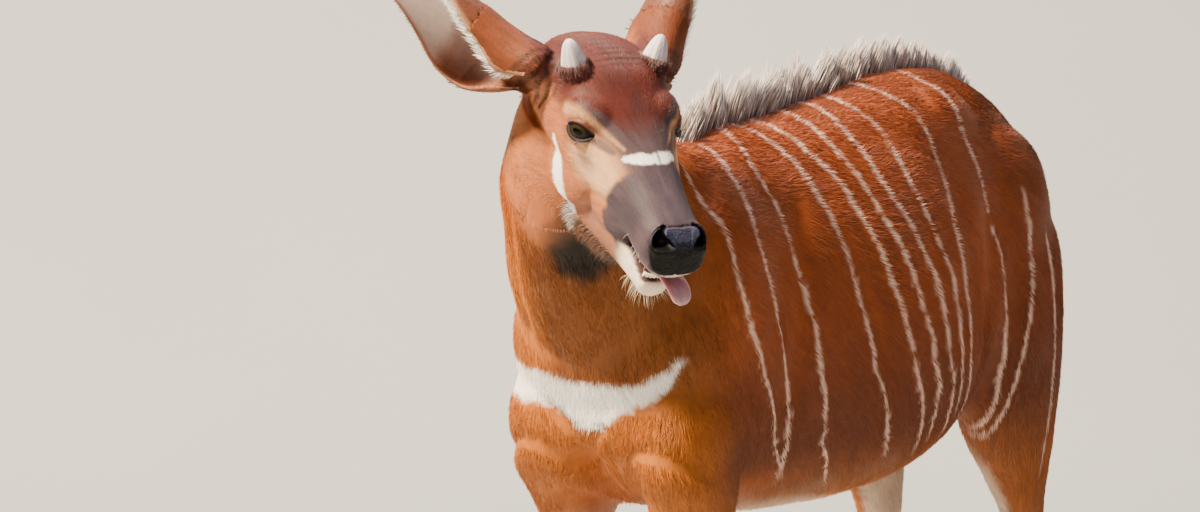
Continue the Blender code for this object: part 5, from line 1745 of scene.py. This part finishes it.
def make_crest(hair, chance):
    """The standing crest: locks of fine hair, each leaning its own way, whose hairs meet at its tip."""
    count, locks = hair_count("crest"), CREST_LOCKS
    y_lock = np.linspace(-0.262, 0.440, locks) + chance.normal(0, 0.003, locks)
    lean_y = chance.normal(0.30, 0.13, locks)
    lean_x = chance.normal(0.0, 0.20, locks)
    tall = chance.uniform(0.84, 1.16, locks)
    number = chance.integers(0, locks, count)
    y = y_lock[number] + chance.normal(0, 0.0052, count)
    x = chance.normal(0, 0.0048, count)
    high = crest_height(y) * tall[number] * chance.uniform(0.72, 1.06, count)
    high = high * (1 - 18 * np.abs(x)).clip(0.55, 1)
    root = np.stack((x, y, back_line(y) - 0.006 - 1.2 * x * x / 0.01), -1)
    meet = 0.80 * (y_lock[number] - y)
    ones = np.ones(count)
    lean = np.stack((lean_x[number] * 0.35 + 4.0 * x, lean_y[number], ones), -1) * (high + 0.006)[:, None]
    droop = np.stack((lean_x[number] * 0.3, 0.10 + 0.2 * lean_y[number], -0.05 * ones), -1) * high[:, None]
    steps = np.array((0.0, 0.36, 0.70, 1.0))
    paths = root[:, None] + lean[:, None] * steps[:, None] + droop[:, None] * (steps**2)[:, None]
    paths[:, :, 1] += meet[:, None] * steps
    half = np.array((0.00075, 0.00075, 0.00050)) * chance.uniform(0.7, 1.2, (count, 1))
    side = unit(np.stack((chance.normal(0.2, 0.5, count), np.ones(count), np.zeros(count)), -1))
    out = unit(np.cross(side, lean))
    pale = mottle(paths[:, 0] * (1, 1, 0), 0.02, 101)
    root_colour = dyed(painted(count, "#6e3c2b"), "#94695c", pale)
    tip_colour = dyed(painted(count, "#f1ece8"), "#9b8f8d", chance.random(count) ** 3)
    strands("crest", paths, side, out, half, 0.6, root_colour, tip_colour, body_map(root), hair)


def make_tail_tuft(hair, chance):
    """Long dark hair round the end of the tail, hanging to a point."""
    count = hair_count("tail")
    turn = chance.uniform(0, 2 * math.pi, count)
    z = chance.uniform(0.52, 0.625, count)
    out = np.stack((np.cos(turn), np.sin(turn), 0 * turn), -1)
    radius = np.interp(z, (0.51, 0.545, 0.59, 0.64), (0.003, 0.007, 0.009, 0.009))
    root = np.stack((0 * z, np.full(count, 0.510), z), -1) + out * radius[:, None]
    long = np.minimum(chance.uniform(0.035, 0.075, count), z - 0.500)
    down = np.array((0, 0, -1.0))
    spread = out * 0.006
    steps = np.array((0.0, 0.4, 0.75, 1.0))
    bow = np.sin(steps * 2.2) * 0.9
    paths = root[:, None] + down * (long[:, None] * steps)[:, :, None] + spread[:, None] * bow[:, None]
    half = np.array((0.0008, 0.0007, 0.0005)) * np.ones((count, 1))
    side = unit(np.cross(out, down))
    dark = painted(count, "#2a1a14") * chance.uniform(0.7, 1.5, (count, 1))
    places = np.stack((turn / (2 * math.pi), (z - 0.5) / 0.14), -1).clip(0.01, 0.99)
    strands("tail_tuft", paths, side, out, half, 0.6, dark, dark * 1.5, places, hair)


def make_whiskers(head, normals, chance):
    """Sparse pale whiskers under the chin and beside the lips."""
    count = WHISKERS
    f, _, u = to_head(head[0]).T
    under_chin = (normals @ HEAD[2] < -0.35) * (u < -0.088)
    weight = ease(0.185, 0.200, f) * (under_chin + 0.12 * (u < -0.03) * (f < 0.235))
    root, out = scatter(*head, normals, weight, count, chance)
    way = unit(out + HEAD[0] * 0.35 + chance.normal(0, 0.15, (count, 3)))
    paths = bowed(root, way, chance.uniform(0.006, 0.017, (count, 1)), 0.55, 0.30)
    side = unit(np.cross(way, HEAD[0]))
    half = np.tile((0.00020, 0.00014), (count, 1))
    pale = painted(count, "#d9cbb8")
    hair = hair_material("Whiskers", 0.45, 0.4)
    out = unit(np.cross(side, way))
    strands("whiskers", paths, side, out, half, 1.0, pale, pale, head_map(root), hair)


def make_horn_skirt(hair, chance):
    """Ragged hair round each horn's foot that points up along the horn."""
    count = hair_count("horn")
    for name, mirror in (("left", 1), ("right", -1)):
        foot, lean = horn_line(mirror)
        side, ahead = across(lean)
        turn = chance.uniform(0, 2 * math.pi, count)
        out = round_way(turn, side, ahead)
        off, height = chance.uniform(0.0165, 0.0195, (count, 1)), chance.uniform(-0.003, 0.006, (count, 1))
        root = foot + out * off + lean * height
        long = chance.uniform(0.004, 0.010, (count, 1))
        way = unit(lean - out * 0.22 + np.cross(out, lean) * chance.normal(0, 0.15, (count, 1)))
        paths = np.stack((root, root + way * long), 1)
        colour = markings(root)
        tip = dyed(colour, "#cdbfc4", 0.5 * ease(0.005, 0.010, long[:, 0]))
        half = np.full((count, 1), 0.00055)
        side, places = unit(np.cross(out, way)), head_map(root)
        base = colour * 0.8
        strands("horn_skirt_" + name, paths, side, out, half, 0.6, base, tip, places, hair)


def make_throat_hair(hair, head, normals, chance):
    """The longer grey and black fuzz under the jaw, where the throat begins."""
    count = hair_count("throat")
    f, _, u = to_head(head[0]).T
    weight = within(f, 0.062, 0.086, 0.140, 0.165) * ease(-0.088, -0.106, u) * (normals @ HEAD[2] < 0.1)
    root, out = scatter(*head, normals, weight, count, chance)
    way = unit(out * 0.45 + head_way((-0.75, 0, -0.55)) + chance.normal(0, 0.16, (count, 3)))
    root = root - out * 0.0008
    paths = bowed(root, way, chance.uniform(0.008, 0.017, (count, 1)), 0.5, 0.25)
    side = unit(np.cross(way, out))
    half = np.tile((0.0006, 0.0004), (count, 1))
    dark = dyed(markings(root), JAW_GREY, np.full(count, 0.6)) * chance.uniform(0.6, 1.15, (count, 1))
    out = unit(np.cross(side, way))
    strands("throat_hair", paths, side, out, half, 0.7, dark * 0.7, dark, head_map(root), hair)


# The coat in pieces


def bare(points, normals):
    """True where no hair grows: eyes, nose, mouth, horns' feet and hooves."""
    place = to_head(points)
    share = head_share(points)
    none = (points[:, 2] < CLAW_HEIGHT + 0.001) | (mouth_share(points, normals) * share > 0.35)
    for mirror in (1, -1):
        centre, axes = eye_frame(mirror)
        x, y, out = ((points - centre) @ axes.T).T
        near = np.linalg.norm(points - centre, axis=1) < 1.7 * EYE_RADIUS
        none |= near & (opening_scale(x, y) < 1.50) & (out > 0)
        foot, lean = horn_line(mirror)
        height = (points - foot) @ lean
        off = np.linalg.norm(points - foot - height[:, None] * lean, axis=1)
        none |= (height > 0.004) & (off < 0.0175) & (height < 0.03)
    return none | (pad_margin(place) > 5.0) | (nostrils_share(place, 1.4) > 0.5)


# Where the coat's front pieces end at the barrel's, and those at the haunches'.
SHOULDER_END = -0.24
BARREL_END = 0.13


def grow_coat(parts, normals, chance):
    """Scatters hair over the skin and deals it out to pieces by where it grows."""
    hair = hair_material("Short chestnut hair", 0.55, 0.22)
    body, head = parts
    spots, out = scatter(*body, normals[0], np.ones(len(body[0])), hair_count("body"), chance)
    keep = (head_share(spots) < chance.uniform(0.3, 0.9, len(spots))) & ~bare(spots, out)
    spots, out = spots[keep], out[keep]
    x, y, z = spots.T
    limb = (z < 0.47) | ((z < 0.50) & (y > 0.18))
    tail = (y > 0.487) & (np.abs(x) < 0.03)
    regions = {
        "legs": limb & ~tail,
        "front": ~limb & (y < SHOULDER_END),
        "barrel": ~limb & (y >= SHOULDER_END) & (y < BARREL_END),
        "haunch": ~limb & (y >= BARREL_END) & ~tail,
    }
    for name, region in regions.items():
        slot, unrolled = ("leg_coat", leg_map) if name == "legs" else ("body_coat", body_map)
        for side, mask in (("_left", region & (x > 0)), ("_right", region & (x <= 0))):
            coat("coat_" + name + side, spots[mask], out[mask], hair, unrolled, chance)
    coat("coat_tail", spots[tail], out[tail], hair, body_map, chance)
    weight = 1.0 + 0.8 * ease(0.02, 0.10, to_head(head[0])[:, 0])
    spots, out = scatter(*head, normals[1], weight, hair_count("head"), chance)
    keep = (head_share(spots) >= chance.uniform(0.05, 0.6, len(spots))) & ~bare(spots, out)
    spots, out = spots[keep], out[keep]
    left = spots @ HEAD[1] > HEAD_AT @ HEAD[1]
    for name, mask in (("coat_head_left", left), ("coat_head_right", ~left)):
        coat(name, spots[mask], out[mask], hair, head_map, chance)
    return hair


# Floor, light and camera

CAMERA_TURN = math.radians(32.0)
CAMERA_RISE = math.radians(7.5)
CAMERA_DISTANCE = 6.2
VIEW_WIDTH = 1.30
AIM = np.array((0.0, -0.40, 0.78)) + SHIFT
LAMPS_AIM = np.array((0.0, 0.0, 0.7))
SENSOR = 36.0


# The stage, in metres: the floor's depth, how much of it lies before the calf, how far its first row lies ahead
# of that, how deep and how high the wall sweeps up, and half its width. The floor takes this share of the rows.
FLOOR_DEPTH = 9.0
FLOOR_AHEAD = 6.5
FLOOR_APRON = 12.0
WALL_SWEEP = 2.5
WALL_HEIGHT = 7.0
STAGE_HALF_WIDTH = 18.0
FLOOR_SHARE = 0.6


def direction(turn, rise):
    """The way from the calf to a place at this turn and rise; at turn 0 it is ahead."""
    return np.array((math.sin(turn) * math.cos(rise), -math.cos(turn) * math.cos(rise), math.sin(rise)))


def make_stage():
    """A pale floor that sweeps up into a pale wall far behind, clear when it is seen from its back."""
    run = np.linspace(0, 1, 40)
    bend = ease(FLOOR_SHARE, 1.0, run) * math.pi / 2
    on_floor = run < FLOOR_SHARE
    depth = np.where(on_floor, run / FLOOR_SHARE * FLOOR_DEPTH, FLOOR_DEPTH + WALL_SWEEP * np.sin(bend))
    rise = np.where(on_floor, 0.0, WALL_HEIGHT * (1 - np.cos(bend)))
    wide = np.linspace(-STAGE_HALF_WIDTH, STAGE_HALF_WIDTH, 60)
    away = np.array((-math.sin(CAMERA_TURN), math.cos(CAMERA_TURN), 0))
    side = np.array((math.cos(CAMERA_TURN), math.sin(CAMERA_TURN), 0))
    grid = (depth - FLOOR_AHEAD - FLOOR_APRON * (run == 0))[:, None, None] * away + wide[None, :, None] * side
    grid = grid + rise[:, None, None] * np.array((0, 0, 1.0))
    made = make_object("floor", grid.reshape(-1, 3) - SHIFT, grid_triangles(len(run), len(wide), around=False))
    made.data.shade_smooth()
    # Painted plaster: matt, with clouds of tone so faint that it reads as one pale sheet.
    material, tree, shader = new_material("Pale studio plaster", 0.85, Specular_IOR_Level=0.2)
    place = add(tree, "ShaderNodeTexCoord", -900, 0)
    cloud = add(tree, "ShaderNodeTexNoise", -700, 0, {
        "Vector": place.outputs["Object"], "Scale": scale_for(400),
    })
    tone = add(tree, "ShaderNodeMix", -400, 0, {
        "Factor": cloud.outputs["Fac"], "A": (*linear("#c6c7c5"), 1), "B": (*linear("#cccdcb"), 1),
    }, data_type="RGBA")
    tree.links.new(tone.outputs["Result"], shader.inputs["Base Color"])
    face = add(tree, "ShaderNodeNewGeometry", -400, -300)
    front = add(tree, "ShaderNodeMath", -200, -300, {
        0: 1.0, 1: face.outputs["Backfacing"],
    }, operation="SUBTRACT")
    tree.links.new(front.outputs["Value"], shader.inputs["Alpha"])
    made.data.materials.append(material)


def aimed(name, data, aim, back, distance):
    """A lamp or camera that stands this way and this far from its aim, and faces it."""
    made = bpy.data.objects.new(name, data)
    made.location = Vector(aim + back * distance)
    made.rotation_euler = Vector(back).to_track_quat("Z", "Y").to_euler()
    bpy.context.scene.collection.objects.link(made)
    return made


def add_light(name, turn, rise, distance, size, power, colour):
    """A square lamp that hangs in a direction from the calf and faces it. Turns count from the camera's."""
    lamp = bpy.data.lights.new(name, "AREA")
    lamp.shape = "SQUARE"
    lamp.size = size
    lamp.energy = power
    lamp.color = linear(colour)
    aimed(name, lamp, LAMPS_AIM, direction(CAMERA_TURN + math.radians(turn), math.radians(rise)), distance)


def light_scene():
    """A warm sun from the left, a little sky from the right, a cool lamp over the back and an even sky."""
    add_light("sun_side", -64, 51, 4.4, 0.6, 1080, "#ffe9c8")
    add_light("sky_side", 50, 30, 4.5, 3.0, 20, "#e8f0ff")
    add_light("overhead", 165, 66, 4.0, 2.2, 150, "#f6f8ff")
    world = bpy.data.worlds.new("even sky")
    bpy.context.scene.world = world
    world.use_nodes = True
    sky = world.node_tree.nodes["Background"]
    sky.inputs["Color"].default_value = (*linear("#e9edf0"), 1)
    sky.inputs["Strength"].default_value = 0.15


def place_camera():
    """The photograph's view: from ahead and a little above, to the calf's left."""
    lens = bpy.data.cameras.new("camera")
    lens.sensor_fit = "HORIZONTAL"
    lens.sensor_width = SENSOR
    lens.lens = SENSOR * CAMERA_DISTANCE / VIEW_WIDTH
    back = direction(CAMERA_TURN, CAMERA_RISE)
    bpy.context.scene.camera = aimed("camera", lens, AIM, back, CAMERA_DISTANCE)


def main():
    """Builds the calf piece by piece. One row of random draws serves all its hair, in this order."""
    chance = np.random.default_rng(20)
    place_camera()
    light_scene()
    make_stage()
    body, head = body_hull(), head_hull()
    parts, normals = make_skin(body, head)
    hair = grow_coat(parts, normals, chance)
    long_hair = hair_material("Coarse crest hair", 0.5, 0.4)
    make_crest(long_hair, chance)
    make_tail_tuft(long_hair, chance)
    make_throat_hair(long_hair, parts[1], normals[1], chance)
    make_horn_skirt(hair, chance)
    make_whiskers(parts[1], normals[1], chance)
    make_lashes(chance)
    bare_skin = bare_material("Bare damp skin", 0.60, 0.9, 0.0003, 0.0, Specular_IOR_Level=0.15)
    eye_material = bare_material("Wet eye", 0.16, 4.0, 0.0, 0.06, Specular_IOR_Level=0.06)
    horn_material = bare_material("Young horn", 0.5, 1.6, 0.0004)
    hoof_material = bare_material("Hoof horn", 0.38, 1.2, 0.0003, 0.15)
    ear_material = bare_material("Thin ear skin", 0.6, 1.4, 0.0002)
    nose_material = bare_material("Pebbled nose leather", 0.46, 1.3, 0.0006, 0.02, Specular_IOR_Level=0.08)
    tongue_material = bare_material("Wet tongue", 0.34, 0.8, 0.0003, 0.5, Subsurface_Weight=0.15)
    tooth_material = bare_material("Tooth enamel", 0.25, 3.0, 0.0001, 0.3)
    make_nose(parts[1], nose_material)
    make_tongue(tongue_material)
    make_teeth(tooth_material)
    for name, mirror in (("left", 1), ("right", -1)):
        make_eye("eye_" + name, mirror, eye_material)
        make_lids("lids_" + name, mirror, bare_skin)
        make_horn("horn_" + name, mirror, horn_material)
    make_ear("ear_right", EAR_RIGHT, 1, ear_material, hair, chance)
    make_ear("ear_left", EAR_LEFT, -1, ear_material, hair, chance)
    for leg_name in STRIDE:
        mirror = 1 if leg_name.endswith("left") else -1
        for side, inner in (("outer", -mirror), ("inner", mirror)):
            node = "hoof_%s_%s" % (leg_name, side)
            make_claw(node, leg_name, mirror, inner, hoof_material)


main()
